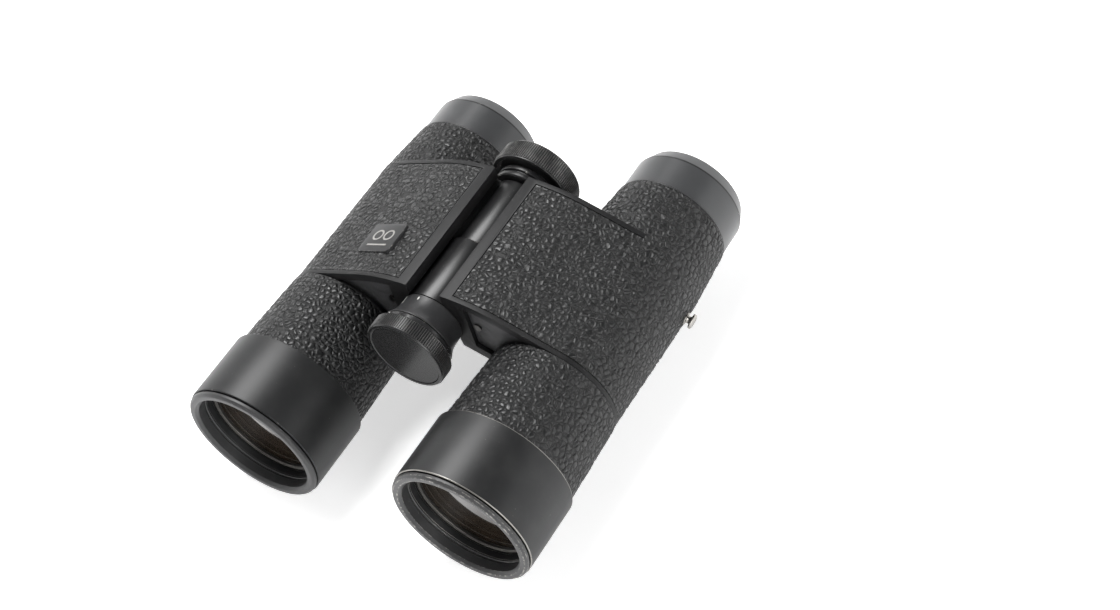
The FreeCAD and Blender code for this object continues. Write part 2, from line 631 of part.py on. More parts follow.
def strap_stud(name, side, x):
    """A turned stud: shank in the housing, base, thin neck and flat head."""
    stud = body(f"{name}_strap_stud", x, f"{wing_front} + stud_station")
    lean(stud, "Placement", side)
    shank = "(body_radius - leather - wall)"
    base_last = "(body_radius + stud_base_length)"
    spin(stud, [
        (shank, "0"), (shank, "stud_neck"), ("body_radius - leather", "stud_neck"),
        ("body_radius - leather", "stud_base - seam"), (base_last, "stud_base - seam"),
        (base_last, "stud_neck"), ("stud_reach - stud_head_length", "stud_neck"),
        ("stud_reach - stud_head_length", "stud_head"), ("stud_reach - stud_chamfer", "stud_head"),
        ("stud_reach", "stud_head - stud_chamfer"), ("stud_reach", "0"),
    ], axis="H_Axis", side=side)


def hinge_parts():
    """Axle, washer, rear collar, index neck and dioptre knob, all on the hinge axis."""
    axle_first = f"({wing_front} - neck_gap + knuckle_inset - neck_overlap)"
    collar_first = f"({wing_rear} + collar_gap)"
    collar_last = f"({collar_first} + collar_length)"
    axle = turned_part("hinge_axle", [
        ("axle_bore", axle_first), ("axle_radius", axle_first), ("axle_radius", collar_last),
        ("axle_bore", collar_last),
    ], z=hinge_z)
    window = window_corners("0", "axle_radius + hinge_fit")
    run(axle, arm_room[0], arm_room[1], "Pocket", corners=window)
    washer_first = f"{wing_front} + knuckle_inset + front_knuckle + washer_gap"
    turned_part("hinge_washer", [
        ("axle_radius", washer_first), ("rear_knuckle_radius", washer_first),
        ("rear_knuckle_radius", f"{washer_first} + washer"), ("axle_radius", f"{washer_first} + washer"),
    ], z=hinge_z)
    middle = f"({collar_first} + collar_length / 2)"
    groove_radius = "collar_radius - collar_groove_depth"
    turned_part("hinge_collar", [
        ("axle_radius", collar_first), ("collar_radius", collar_first),
        ("collar_radius", f"{middle} - collar_groove"), (groove_radius, f"{middle} - collar_groove / 2"),
        (groove_radius, f"{middle} + collar_groove / 2"), ("collar_radius", f"{middle} + collar_groove"),
        ("collar_radius", collar_last), ("axle_radius", collar_last),
    ], z=hinge_z)
    neck_last = f"({wing_front} + knuckle_inset - neck_gap)"
    neck_first = f"({neck_last} - neck_length)"
    turned_part("index_neck", [
        ("axle_radius", axle_first), ("axle_radius", neck_last), ("neck_rear_radius", neck_last),
        ("neck_mid_radius", f"{neck_first} + neck_flare"), ("neck_front_radius", neck_first),
        ("knob_bore", neck_first), ("knob_bore", axle_first),
    ], z=hinge_z)
    knob_rear = f"({neck_first} - knob_gap)"
    knurl_rear = f"({knob_rear} - knob_step)"
    knob_front = f"({knurl_rear} - knob_length)"
    journal_last = f"({knob_rear} + knob_journal)"
    turned_part("dioptre_knob", [
        ("0", f"{knob_front} + knob_face"),
        ("knob_radius - knob_rim - knob_face", f"{knob_front} + knob_face"),
        ("knob_radius - knob_rim", knob_front), ("knob_radius - knob_chamfer", knob_front),
        ("knob_radius", f"{knob_front} + knob_chamfer"), ("knob_radius", f"{knurl_rear} - knob_chamfer"),
        ("knob_radius - knob_chamfer", knurl_rear), ("neck_front_radius", knurl_rear),
        ("neck_front_radius", knob_rear), ("knob_bore - slide_gap", knob_rear),
        ("knob_bore - slide_gap", journal_last), ("0", journal_last),
    ], z=hinge_z)
    turned_part("dioptre_screw", [
        ("0", journal_last), ("screw_rod", journal_last), ("screw_rod", f"{journal_last} + screw_rod_length"),
        ("0", f"{journal_last} + screw_rod_length"),
    ], z=hinge_z)


def focus_parts():
    """Focus wheel with its cap, the screwed spindle inside the axle, and the spool that moves the arms."""
    wheel_first = f"({wing_rear} + collar_gap + collar_length + wheel_gap)"
    wheel_last = f"({wheel_first} + wheel_length)"
    journal_first = f"({wheel_first} - wheel_journal)"
    cap_first = f"({wheel_last} - cap_seat)"
    thread = "(spindle_radius + slide_gap)"
    rim = "(wheel_radius - wheel_rim)"
    turned_part("focus_wheel", [
        (thread, journal_first), ("axle_bore - slide_gap", journal_first),
        ("axle_bore - slide_gap", wheel_first), ("hub_radius", wheel_first),
        ("hub_radius", f"{wheel_first} + wheel_dish"), (f"{rim} - wheel_chamfer", f"{wheel_first} + wheel_dish"),
        (rim, wheel_first), ("wheel_radius - wheel_chamfer", wheel_first),
        ("wheel_radius", f"{wheel_first} + wheel_chamfer"), ("wheel_radius", f"{wheel_last} - wheel_chamfer"),
        ("wheel_radius - wheel_chamfer", wheel_last), ("cap_radius", wheel_last), ("cap_radius", cap_first),
        (thread, cap_first),
    ], z=hinge_z)
    turned_part("focus_wheel_cap", [
        ("0", cap_first), ("cap_radius", cap_first), ("cap_radius", wheel_last),
        ("cap_radius - cap_rise", f"{wheel_last} + cap_rise"), ("0", f"{wheel_last} + cap_rise"),
    ], z=hinge_z)
    groove_first = f"({arm_first} - slide_gap)"
    groove_last = f"({arm_last} + slide_gap)"
    flange = "(axle_bore - 2 * slide_gap)"
    turned_part("focus_spool", [
        ("0", f"{groove_first} - spool_flange"), (flange, f"{groove_first} - spool_flange"),
        (flange, groove_first), ("spool_core", groove_first), ("spool_core", groove_last),
        (flange, groove_last), (flange, f"{groove_last} + spool_flange"),
        ("0", f"{groove_last} + spool_flange"),
    ], z=hinge_z)
    turned_part("focus_spindle", [
        ("0", f"{groove_last} + spool_flange"), ("spindle_radius", f"{groove_last} + spool_flange"),
        ("spindle_radius", f"{wheel_last} - spindle_end"), ("0", f"{wheel_last} - spindle_end"),
    ], z=hinge_z)


for name, side in (("right", -1), ("left", 1)):
    barrel = f"{side} * {barrel_x}"
    housing(f"{name}_body_housing", side)
    front_plate_parts(name, side, barrel)
    objective_parts(name, barrel)
    focusing_parts(name, side, barrel)
    prism_parts(name, barrel)
    ocular_parts(name, barrel)
    leather_body(name, side, barrel)
    strap_stud(name, side, barrel)
hinge_parts()
focus_parts()
badge_plate()

doc.recompute()
for item in doc.Objects:
    if "Invalid" in item.State or "Error" in item.State:
        raise RuntimeError(f"{item.Label}: {item.State}")
os.makedirs("parts", exist_ok=True)
for item in doc.Objects:
    if item.TypeId != "PartDesign::Body":
        continue
    if item.Shape.isNull() or not item.Shape.isValid():
        raise RuntimeError(f"{item.Label}: no valid shape")
    box = item.Shape.BoundBox
    print(item.Label, len(item.Shape.Solids), round(item.Shape.Volume, 1), end=" ")
    print([round(number, 2) for number in (box.XMin, box.XMax, box.YMin, box.YMax, box.ZMin, box.ZMax)])
    item.Shape.exportStep(f"parts/{item.Label}.step")
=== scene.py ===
import math

import bmesh
import bpy
from mathutils import Matrix, Vector


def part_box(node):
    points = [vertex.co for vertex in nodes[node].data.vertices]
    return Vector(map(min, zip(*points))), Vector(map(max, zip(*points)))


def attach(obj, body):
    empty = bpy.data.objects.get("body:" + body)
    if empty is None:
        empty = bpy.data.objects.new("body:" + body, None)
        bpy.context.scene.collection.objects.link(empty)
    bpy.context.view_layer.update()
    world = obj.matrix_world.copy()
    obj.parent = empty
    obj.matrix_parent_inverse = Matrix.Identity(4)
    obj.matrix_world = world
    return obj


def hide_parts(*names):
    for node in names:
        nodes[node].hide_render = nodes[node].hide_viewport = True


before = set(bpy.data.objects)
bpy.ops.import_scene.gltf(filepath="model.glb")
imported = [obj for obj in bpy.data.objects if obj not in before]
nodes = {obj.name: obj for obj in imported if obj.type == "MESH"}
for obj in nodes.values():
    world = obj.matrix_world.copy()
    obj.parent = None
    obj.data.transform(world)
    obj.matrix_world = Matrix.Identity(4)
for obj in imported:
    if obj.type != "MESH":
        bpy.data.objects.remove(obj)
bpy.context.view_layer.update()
mm = 0.001
sides = (("right", -1), ("left", 1))

# where the barrels and the hinge lie
hoodLow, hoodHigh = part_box("left_objective_hood")
axleLow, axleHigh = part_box("hinge_axle")
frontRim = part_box("left_front_ring")[0].y
barrelX = (hoodLow.x + hoodHigh.x) / 2
barrelZ = (hoodLow.z + hoodHigh.z) / 2
hingeZ = (axleLow.z + axleHigh.z) / 2
print("frame read")


class Socket:
    def __init__(self, material, socket):
        self.material = material
        self.socket = socket

    def math(self, operation, other=None):
        inputs = {0: self} if other is None else {0: self, 1: other}
        return self.material.node("ShaderNodeMath", inputs, operation=operation)

    def __add__(self, other):
        return self.math("ADD", other)

    def __mul__(self, other):
        return self.math("MULTIPLY", other)

    def __sub__(self, other):
        return self.math("SUBTRACT", other)

    def __rsub__(self, other):
        return self * -1 + other

    __radd__ = __add__
    __rmul__ = __mul__

    def step(self, low, high):  # 0 under low, 1 over high, smooth between
        return self.material.node("ShaderNodeMapRange", {"Value": self, "From Min": low, "From Max": high},
                                  interpolation_type="SMOOTHSTEP")


class Material:
    def __init__(self, name, base=(0.02, 0.02, 0.02), roughness=0.4, metallic=0.0, **plain):
        self.data = bpy.data.materials.new(name)
        self.data.use_nodes = True
        self.tree = self.data.node_tree
        self.shader = self.tree.nodes["Principled BSDF"]
        self.set("Base Color", (*base, 1))
        self.set("Roughness", roughness)
        self.set("Metallic", metallic)
        for socket, value in plain.items():
            self.set(socket.replace("_", " "), value)

    def node(self, kind, inputs=None, output=0, **settings):
        made = self.tree.nodes.new(kind)
        for name, value in settings.items():
            setattr(made, name, value)
        for place, value in (inputs or {}).items():
            self.link(made.inputs[place], value)
        return Socket(self, made.outputs[output])

    def link(self, target, value):
        if isinstance(value, Socket):
            value = value.socket
        if isinstance(value, bpy.types.NodeSocket):
            self.tree.links.new(value, target)
        else:
            target.default_value = value

    def set(self, name, value):
        self.link(self.shader.inputs[name], value)

    def place(self):  # millimetres on the object
        coordinates = self.node("ShaderNodeTexCoord", output="Object")
        return self.node("ShaderNodeVectorMath", {0: coordinates, 3: 1000.0}, operation="SCALE")

    def axes(self):
        split = self.node("ShaderNodeSeparateXYZ", {0: self.place()})
        outputs = split.socket.node.outputs
        return [Socket(self, outputs[axis]) for axis in "XYZ"]

    def noise(self, size, detail=3.0, roughness=0.55, stretch=(1, 1, 1)):
        spot = self.node("ShaderNodeMapping", {"Vector": self.place(), "Scale": stretch})
        return self.node("ShaderNodeTexNoise", {"Vector": spot, "Scale": 1 / size, "Detail": detail,
                                                "Roughness": roughness}, output="Fac")

    def cells(self, size):
        return self.node("ShaderNodeTexVoronoi", {"Vector": self.place(), "Scale": 1 / size}, output="Distance")

    def mix(self, factor, first, second):
        def coloured(item):
            return item if isinstance(item, Socket) else (*item, 1)
        made = self.tree.nodes.new("ShaderNodeMix")
        made.data_type = "RGBA"
        self.link(made.inputs[0], factor)
        self.link(made.inputs[6], coloured(first))
        self.link(made.inputs[7], coloured(second))
        return Socket(self, made.outputs[2])

    def bump(self, height, distance, strength=1.0):
        normal = self.node("ShaderNodeBump", {"Height": height, "Distance": distance * mm, "Strength": strength})
        self.set("Normal", normal)


grainSizes = {"pebble": 1.8, "warp": 1.6, "warpScale": 0.42, "random": 0.9, "crease": 0.25}
enamel = {"black": (0.011, 0.0112, 0.0118), "worn": (0.20, 0.195, 0.19), "bare": (0.30, 0.29, 0.27)}


def enamelFinish(name, roughness=0.36, wear=0.35, scratch=0.3, base=None, edge=False, shine=0.36):
    black = base or enamel["black"]
    made = Material(name, black, roughness, Specular_IOR_Level=shine)
    fine = made.noise(0.35, 3)
    lines = made.noise(1.1, 6, 0.75, (1, 0.05, 1)).step(0.68, 0.76) * made.noise(7, 2).step(0.55, 0.66)
    if edge:  # rubbed through to bare metal
        worn = made.noise(1.6, 6, 0.7, (1, 0.5, 1)).step(0.66 - wear * 0.4, 0.78 - wear * 0.3)
        colour = made.mix(worn, black, enamel["bare"])
        made.set("Metallic", worn * 0.85)
        made.set("Roughness", (fine - 0.5) * 0.15 + roughness)
    else:  # chipped and scratched here and there
        broad = made.noise(9, 4)
        chips = made.cells(1.7) + made.noise(0.25, 3) * 0.12
        specks = chips.step(0.16, 0.12) * made.noise(9, 3).step(0.60 - wear * 0.15, 0.70 - wear * 0.15)
        marks = (lines * scratch + specks * wear * 0.8).math("MINIMUM", 1.0)
        dusty = broad.step(0.42, 0.7) * 0.06 * wear
        colour = made.mix(marks, made.mix(dusty, black, enamel["worn"]), enamel["worn"])
        made.set("Roughness", (broad - 0.5) * 0.05 + (fine - 0.5) * 0.08 + lines * 0.15 + roughness)
    made.set("Base Color", colour)
    made.bump(fine * 0.6 + made.noise(0.12, 2) * 0.4 - lines * 0.8, 0.01, 0.6)
    return made.data


def turnedMetal(name, base, roughness=0.3, metallic=1.0):
    made = Material(name, base, roughness, metallic)
    rings = made.noise(0.25, 3, 0.5, (0.06, 1, 0.06))
    tarnish = made.noise(3.0, 4)
    made.set("Base Color", made.mix(tarnish.step(0.45, 0.75) * 0.5, base, tuple(part * 0.55 for part in base)))
    made.set("Roughness", (rings - 0.5) * 0.2 + tarnish * 0.12 + roughness)
    made.bump(rings, 0.01, 0.5)
    return made.data


def leatherFinish():
    made = Material("pebbledLeather", (0.008, 0.0082, 0.0085), 0.42, Specular_IOR_Level=0.5)
    spot = made.place()
    warp = made.node("ShaderNodeTexNoise", {"Vector": spot, "Scale": grainSizes["warpScale"], "Detail": 2.0},
                     output="Color")
    warped = made.node("ShaderNodeVectorMath", {0: warp, 1: (grainSizes["warp"],) * 3, 2: spot},
                       operation="MULTIPLY_ADD")
    crease = made.node("ShaderNodeTexVoronoi", {"Vector": warped, "Scale": 1 / grainSizes["pebble"],
                                                "Randomness": grainSizes["random"]}, feature="DISTANCE_TO_EDGE")
    dome = crease.step(0.0, grainSizes["crease"])
    fine = made.noise(0.30, 4, 0.6)
    hair = made.noise(0.10, 2)
    worn = made.noise(11, 3).step(0.45, 0.75)
    # painted shade: the creases are coloured near-black and the dome tops lighter; the tops get lighter still where
    # the broad worn mask is high, which is real wear
    made.set("Base Color", made.mix(dome * (0.55 + worn * 0.45), (0.0012, 0.0012, 0.0013), (0.0095, 0.0098, 0.0102)))
    made.set("Roughness", (fine - 0.5) * 0.10 - dome * 0.28 - worn * 0.04 + 0.64)
    made.bump(dome * 0.90 + fine * 0.06 + hair * 0.04, 0.22, 0.9)
    return made.data


def glassFinish(name, tint, clear, seen, roughness=0.02):
    made = Material(name, tint, roughness, IOR=1.9)
    film = made.noise(7, 3)
    made.set("Roughness", film.step(0.4, 0.9) * 0.03 + roughness)
    made.set("Base Color", made.mix(film.step(0.35, 0.75), tint, tuple(part * 0.7 for part in tint)))
    glassy = made.node("ShaderNodeBsdfTransparent", {"Color": (*clear, 1)})
    edge = made.node("ShaderNodeFresnel", {"IOR": 1.6}) + seen
    blend = made.node("ShaderNodeMixShader", {0: edge.math("MINIMUM", 1.0), 1: glassy, 2: made.shader.outputs[0]})
    made.link(made.tree.nodes["Material Output"].inputs["Surface"], blend)
    return made.data


def knurlFinish(name, radius, bare):
    made = Material(name, enamel["black"], 0.4)
    x, _, z = made.axes()
    reach = (x * x + (z - hingeZ * 1000) * (z - hingeZ * 1000)).math("SQRT")
    tops = reach.step(radius - 0.28, radius - 0.06)
    patches = made.noise(2.6, 4).step(0.36, 0.72)
    worn = tops * (patches * 0.7 + 0.12)
    made.set("Base Color", made.mix(worn, (0.011, 0.011, 0.0115), bare))
    made.set("Metallic", worn * 0.8)
    made.set("Roughness", made.noise(0.4, 3) * 0.25 + 0.3)
    made.bump(made.noise(0.2, 3), 0.03, 0.6)
    return made.data


finishes = {  # a piece's faces, then its rounded edges
    "housing": (enamelFinish("castingEnamel", 0.50, 0.3, 0.3, (0.008, 0.008, 0.0085), shine=0.25),
                enamelFinish("castingEdge", 0.42, 0.4, edge=True)),
    "hood": (enamelFinish("hoodEnamel", 0.43, 0.3, 0.2), enamelFinish("hoodEdge", 0.42, 0.12, edge=True)),
    "hoodWorn": (enamelFinish("hoodEnamelWorn", 0.43, 0.5, 0.3), enamelFinish("hoodEdgeWorn", 0.34, 1.2, edge=True)),
    "lipWorn": (enamelFinish("lipEnamelWorn", 0.40, 1.0, 0.5, (0.034, 0.034, 0.035)),
                enamelFinish("lipEdgeWorn", 0.42, 0.5, base=(0.04, 0.04, 0.041), edge=True)),
    "lip": (enamelFinish("lipEnamel", 0.42, 0.2, 0.2, (0.034, 0.034, 0.035)),
            enamelFinish("lipEdge", 0.42, 0.0, base=(0.04, 0.04, 0.041), edge=True)),
    # the eye cup enamel's lighter grey base is partly its own satin tone and partly painted sheen, standing in for
    # the lamps' bright reflection
    "ocular": (enamelFinish("ocularEnamel", 0.36, 0.2, 0.2, (0.042, 0.043, 0.045), shine=0.5),
               enamelFinish("ocularEdge", 0.42, 0.1, edge=True)),
    "hinge": (enamelFinish("hingeEnamel", 0.31, 0.4, 0.9, (0.008, 0.008, 0.0085)),
              enamelFinish("hingeEdge", 0.34, 0.25, edge=True)),
    "neck": (enamelFinish("neckEnamel", 0.36, 0.4, 0.8, (0.026, 0.026, 0.027)),
             enamelFinish("neckEdge", 0.36, 0.1, base=(0.03, 0.03, 0.031), edge=True)),
    # the plate enamel's lighter grey base is painted reflection, standing in for the pale surroundings mirrored in
    # the plate
    "plate": (enamelFinish("plateEnamel", 0.52, 0.1, 0.1, (0.045, 0.045, 0.047)),
              enamelFinish("plateEdge", 0.5, 0.1, base=(0.05, 0.05, 0.052), edge=True)),
    "knobFace": (enamelFinish("knobFaceEnamel", 0.22, 0.12, 0.1, (0.020, 0.020, 0.0205)),
                 enamelFinish("knobEdge", 0.36, 0.12, edge=True)),
    "inner": (enamelFinish("innerBlack", 0.6, 0.1, 0.0, (0.006, 0.006, 0.006)),) * 2,
    "badge": (enamelFinish("badgeEnamel", 0.42, 0.3, 0.3, (0.022, 0.022, 0.023)),
              enamelFinish("badgeEdge", 0.42, 0.3, edge=True)),
    "badgeSign": (turnedMetal("badgeSignMetal", (0.36, 0.35, 0.335), 0.34, 0.8),) * 2,
    "nickel": (turnedMetal("nickel", (0.40, 0.385, 0.36), 0.2),) * 2,
    "ringMetal": (turnedMetal("retainerBlack", (0.035, 0.033, 0.031), 0.35, 0.6),
                  turnedMetal("retainerMetal", (0.22, 0.21, 0.19), 0.3)),
    "dark": (turnedMetal("darkNickel", (0.10, 0.097, 0.092), 0.3),) * 2,
    "brass": (turnedMetal("brass", (0.55, 0.42, 0.2), 0.35),) * 2,
    "aluminium": (turnedMetal("aluminium", (0.5, 0.5, 0.5), 0.4),) * 2,
    "steel": (turnedMetal("steel", (0.4, 0.4, 0.41), 0.3),) * 2,
    "paint": (turnedMetal("markPaint", (0.55, 0.545, 0.52), 0.5, 0.0),) * 2,
    "wheelRim": (enamelFinish("wheelEnamel", 0.34, 0.5, 0.4, (0.022, 0.022, 0.0225)),
                 enamelFinish("wheelEdge", 0.36, 0.3, edge=True)),
}
leather = leatherFinish()
frontGlass = glassFinish("coatedGlass", (0.016, 0.011, 0.007), (0.62, 0.50, 0.38), 0.78)
innerGlass = glassFinish("clearGlass", (0.03, 0.03, 0.029), (0.86, 0.88, 0.85), 0.1)
print("finishes made")


def spread(first, last, pitch):
    count = max(1, round(abs(last - first) / pitch))
    return [first + (last - first) * step / count for step in range(count + 1)]


def closePiece(name, mesh, body, replaced, finish=()):
    piece = bpy.data.objects.new(name, mesh)
    bpy.context.scene.collection.objects.link(piece)
    for item in finish:
        mesh.materials.append(item)
    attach(piece, body)
    if replaced:
        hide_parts(*replaced)
    return piece


def smoothByAngle(shape, limit=32):
    for face in shape.faces:
        face.smooth = True
    for edge in shape.edges:
        edge.smooth = not (edge.is_manifold and edge.calc_face_angle(0) > math.radians(limit))


def roundedOutline(corners, closed, steps=4):
    count = len(corners)
    outline = []
    for index, (radius, station, rounding) in enumerate(corners):
        spot = Vector((radius, station))
        if rounding == 0 or (not closed and index in (0, count - 1)):
            outline.append((spot, False))
            continue
        before = (Vector(corners[index - 1][:2]) - spot)
        after = (Vector(corners[(index + 1) % count][:2]) - spot)
        turn = before.angle(after)
        back = min(rounding / math.tan(turn / 2), before.length * 0.48, after.length * 0.48)
        first = spot + before.normalized() * back
        last = spot + after.normalized() * back
        for step in range(steps + 1):
            share = step / steps
            point = first.lerp(spot, share).lerp(spot.lerp(last, share), share)
            outline.append((point, step < steps))
    return outline


def turnedMesh(name, corners, x, z, segments=160):
    closed = corners[0][0] > 0
    outline = roundedOutline(corners, closed)
    shape = bmesh.new()
    rings = []
    for (radius, station), _ in outline:
        y = frontRim + station * mm
        if radius < 1e-6:
            rings.append([shape.verts.new((x, y, z))] * segments)
            continue
        ring = []
        for step in range(segments):
            angle = 2 * math.pi * step / segments
            ring.append(shape.verts.new((x + radius * mm * math.cos(angle), y, z + radius * mm * math.sin(angle))))
        rings.append(ring)
    spans = len(rings) if closed else len(rings) - 1
    for index in range(spans):
        first, second = rings[index], rings[(index + 1) % len(rings)]
        for step in range(segments):
            following = (step + 1) % segments
            loop = [first[step], second[step], second[following], first[following]]
            loop = [vertex for place, vertex in enumerate(loop) if vertex not in loop[:place]]
            face = shape.faces.new(loop)
            face.material_index = 1 if outline[index][1] else 0
    bmesh.ops.recalc_face_normals(shape, faces=shape.faces)
    smoothByAngle(shape)
    mesh = bpy.data.meshes.new(name)
    shape.to_mesh(mesh)
    shape.free()
    return mesh


def turnedPiece(name, corners, x, z, body, replaced, finish, segments=160):
    mesh = turnedMesh(name, corners, x, z, segments)
    return closePiece(name, mesh, body, replaced, finish)


def bevelledCopy(node, body, finish, width, steps=2, knuckles=()):
    shape = bmesh.new()
    shape.from_mesh(nodes[node].data)
    bmesh.ops.remove_doubles(shape, verts=shape.verts, dist=1e-6)
    bmesh.ops.dissolve_limit(shape, angle_limit=math.radians(0.6), verts=shape.verts, edges=shape.edges)
    for face in shape.faces:
        face.material_index = 0
    mesh = bpy.data.meshes.new(node)
    shape.to_mesh(mesh)
    shape.free()
    for item in finish:
        mesh.materials.append(item)
    rough = bpy.data.objects.new("roughCopy", mesh)
    bpy.context.scene.collection.objects.link(rough)
    bevel = rough.modifiers.new("bevel", "BEVEL")
    bevel.width = width * mm
    bevel.segments = steps
    bevel.limit_method = "ANGLE"
    bevel.angle_limit = math.radians(40)
    bevel.material = 1
    bevel.use_clamp_overlap = True
    graph = bpy.context.evaluated_depsgraph_get()
    made = bpy.data.meshes.new_from_object(rough.evaluated_get(graph))
    bpy.data.objects.remove(rough)
    shape = bmesh.new()
    shape.from_mesh(made)
    smoothByAngle(shape, 28)
    for face in shape.faces:  # the turned knuckle is glossier than the casting
        reaches = [math.hypot(vertex.co.x, vertex.co.z - hingeZ) / mm for vertex in face.verts]
        if any(max(reaches) < radius + 0.1 and min(reaches) > radius - 0.1 for radius in knuckles):
            face.material_index = 2
    shape.to_mesh(made)
    shape.free()
    return closePiece(node + "_shell", made, body, [node])


# each leather is cut as one sheet, thickened, then grained
skin = {"pitch": 1.3, "cuts": 3, "thickness": 0.6, "sink": 0.09, "relief": 0.34,
        "frontRadius": 21.5, "rearRadius": 20.5, "hoodEnd": 24.1, "tubeEnd": 51.5, "seam": 0.28}
wing = {"barrel": 20.2, "tail": 18.7, "tailLength": 19.2, "crown": 58.0, "slope": math.radians(20.5),
        "inner": 6.0, "strip": 3.5, "border": 1.5, "foot": 18.0}


def adder(tree):
    def add(kind, inputs, output=0, **settings):
        made = tree.nodes.new(kind)
        for name, value in settings.items():
            setattr(made, name, value)
        for place, value in inputs.items():
            if isinstance(value, bpy.types.NodeSocket):
                tree.links.new(value, made.inputs[place])
            else:
                made.inputs[place].default_value = value
        return made.outputs[output]
    return add


def grainTree():
    tree = bpy.data.node_groups.new("pebbleGrain", "GeometryNodeTree")
    face = tree.interface
    face.new_socket("Geometry", in_out="INPUT", socket_type="NodeSocketGeometry")
    for name in ("Pebble", "Warp", "Warp Scale", "Random", "Crease", "Relief"):
        face.new_socket(name, in_out="INPUT", socket_type="NodeSocketFloat")
    face.new_socket("Leather", in_out="INPUT", socket_type="NodeSocketMaterial")
    face.new_socket("Geometry", in_out="OUTPUT", socket_type="NodeSocketGeometry")
    source = tree.nodes.new("NodeGroupInput").outputs
    add = adder(tree)

    def maths(operation, first, second):
        return add("ShaderNodeMath", {0: first, 1: second}, operation=operation)

    place = add("GeometryNodeInputPosition", {})
    inMm = add("ShaderNodeVectorMath", {0: place, 3: 1000.0}, operation="SCALE")
    warp = add("ShaderNodeTexNoise", {"Vector": inMm, "Scale": source["Warp Scale"], "Detail": 2.0},
               output="Color")
    amount = add("ShaderNodeCombineXYZ", {axis: source["Warp"] for axis in range(3)})
    warped = add("ShaderNodeVectorMath", {0: warp, 1: amount, 2: inMm}, operation="MULTIPLY_ADD")
    cells = {"Vector": warped, "Scale": maths("DIVIDE", 1.0, source["Pebble"]), "Randomness": source["Random"]}
    edge = add("ShaderNodeTexVoronoi", cells, feature="DISTANCE_TO_EDGE")
    tint = add("ShaderNodeTexVoronoi", cells, output="Color")
    lone = add("ShaderNodeSeparateXYZ", {0: tint})
    dome = add("ShaderNodeMapRange", {"Value": edge, "From Max": source["Crease"]},
               interpolation_type="SMOOTHSTEP")
    tall = add("ShaderNodeMapRange", {"Value": lone, "To Min": 0.66, "To Max": 1.0})
    fold = add("ShaderNodeTexNoise", {"Vector": inMm, "Scale": 0.9, "Detail": 2.0}, output="Fac")
    folded = add("ShaderNodeMath", {0: fold, 1: 0.6, 2: 0.7}, operation="MULTIPLY_ADD")
    height = maths("MULTIPLY", maths("MULTIPLY", dome, tall), folded)
    free = add("GeometryNodeInputNamedAttribute", {"Name": "free"}, data_type="FLOAT")
    raised = maths("MULTIPLY", height, free)
    level = maths("MULTIPLY", maths("SUBTRACT", raised, maths("MULTIPLY", free, 0.55)), source["Relief"])
    push = add("ShaderNodeVectorMath", {0: add("GeometryNodeInputNormal", {}), 3: maths("MULTIPLY", level, mm)},
               operation="SCALE")
    pushed = add("GeometryNodeSetPosition", {"Geometry": source["Geometry"], "Offset": push})
    whole = add("GeometryNodeRealizeInstances", {0: pushed})
    dressed = add("GeometryNodeSetMaterial", {"Geometry": whole, "Material": source["Leather"]})
    tree.links.new(dressed, tree.nodes.new("NodeGroupOutput").inputs[0])
    return tree


def setInputs(modifier, values):
    for item in modifier.node_group.interface.items_tree:
        if item.in_out == "INPUT" and item.name in values:
            modifier[item.identifier] = values[item.name]


def plainMesh(piece):
    graph = bpy.context.evaluated_depsgraph_get()
    mesh = bpy.data.meshes.new_from_object(piece.evaluated_get(graph))
    bpy.data.objects.remove(piece)
    return mesh


def grainedSheet(name, side, columns, patches, spotAt, replaced):
    shape = bmesh.new()
    free = shape.verts.layers.float.new("free")
    grid = {}

    def vertexAt(column, station):
        key = (column, round(station, 3))
        if key not in grid:
            grid[key] = shape.verts.new(spotAt(columns[column], station))
        return grid[key]

    for first, last, stations in patches:
        for column in range(first, last):
            following = (column + 1) % len(columns)
            for near, far in zip(stations, stations[1:]):
                shape.faces.new([vertexAt(column, near), vertexAt(column, far), vertexAt(following, far),
                                 vertexAt(following, near)])
    bmesh.ops.remove_doubles(shape, verts=shape.verts, dist=1e-6)
    bmesh.ops.recalc_face_normals(shape, faces=shape.faces)
    outward = 0
    for face in shape.faces:
        middle = face.calc_center_median()
        outward += face.normal.dot(middle - Vector((side * barrelX, middle.y, barrelZ)))
    if outward < 0:
        bmesh.ops.reverse_faces(shape, faces=shape.faces)
    for vertex in shape.verts:
        vertex[free] = 0.0 if vertex.is_boundary else 1.0
    mesh = bpy.data.meshes.new(name)
    shape.to_mesh(mesh)
    shape.free()
    mesh.materials.append(leather)
    mesh.materials.append(leather)
    sheet = bpy.data.objects.new("sheet", mesh)
    bpy.context.scene.collection.objects.link(sheet)
    thick = sheet.modifiers.new("thick", "SOLIDIFY")
    thick.thickness = skin["thickness"] * mm
    thick.offset = -1
    thick.material_offset = 1
    thick.material_offset_rim = 1
    mesh = plainMesh(sheet)
    shape = bmesh.new()
    shape.from_mesh(mesh)
    free = shape.verts.layers.float["free"]
    outer = [face for face in shape.faces if face.material_index == 0]
    outerVerts = {vertex for face in outer for vertex in face.verts}
    for vertex in shape.verts:
        if vertex not in outerVerts:
            vertex[free] = 0.0
    edges = {edge for face in outer for edge in face.edges}
    bmesh.ops.subdivide_edges(shape, edges=list(edges), cuts=skin["cuts"], use_grid_fill=True)
    for face in shape.faces:
        face.smooth = True
    for edge in shape.edges:
        indices = {face.material_index for face in edge.link_faces}
        edge.smooth = len(indices) == 1
    shape.to_mesh(mesh)
    shape.free()
    grained = bpy.data.objects.new("grained", mesh)
    bpy.context.scene.collection.objects.link(grained)
    modifier = grained.modifiers.new("grain", "NODES")
    modifier.node_group = grain
    setInputs(modifier, {"Pebble": grainSizes["pebble"], "Warp": grainSizes["warp"],
                         "Warp Scale": grainSizes["warpScale"], "Random": grainSizes["random"],
                         "Crease": grainSizes["crease"], "Relief": skin["relief"], "Leather": leather})
    body = "left_half" if side > 0 else "right_half"
    return closePiece(name, plainMesh(grained), body, replaced)


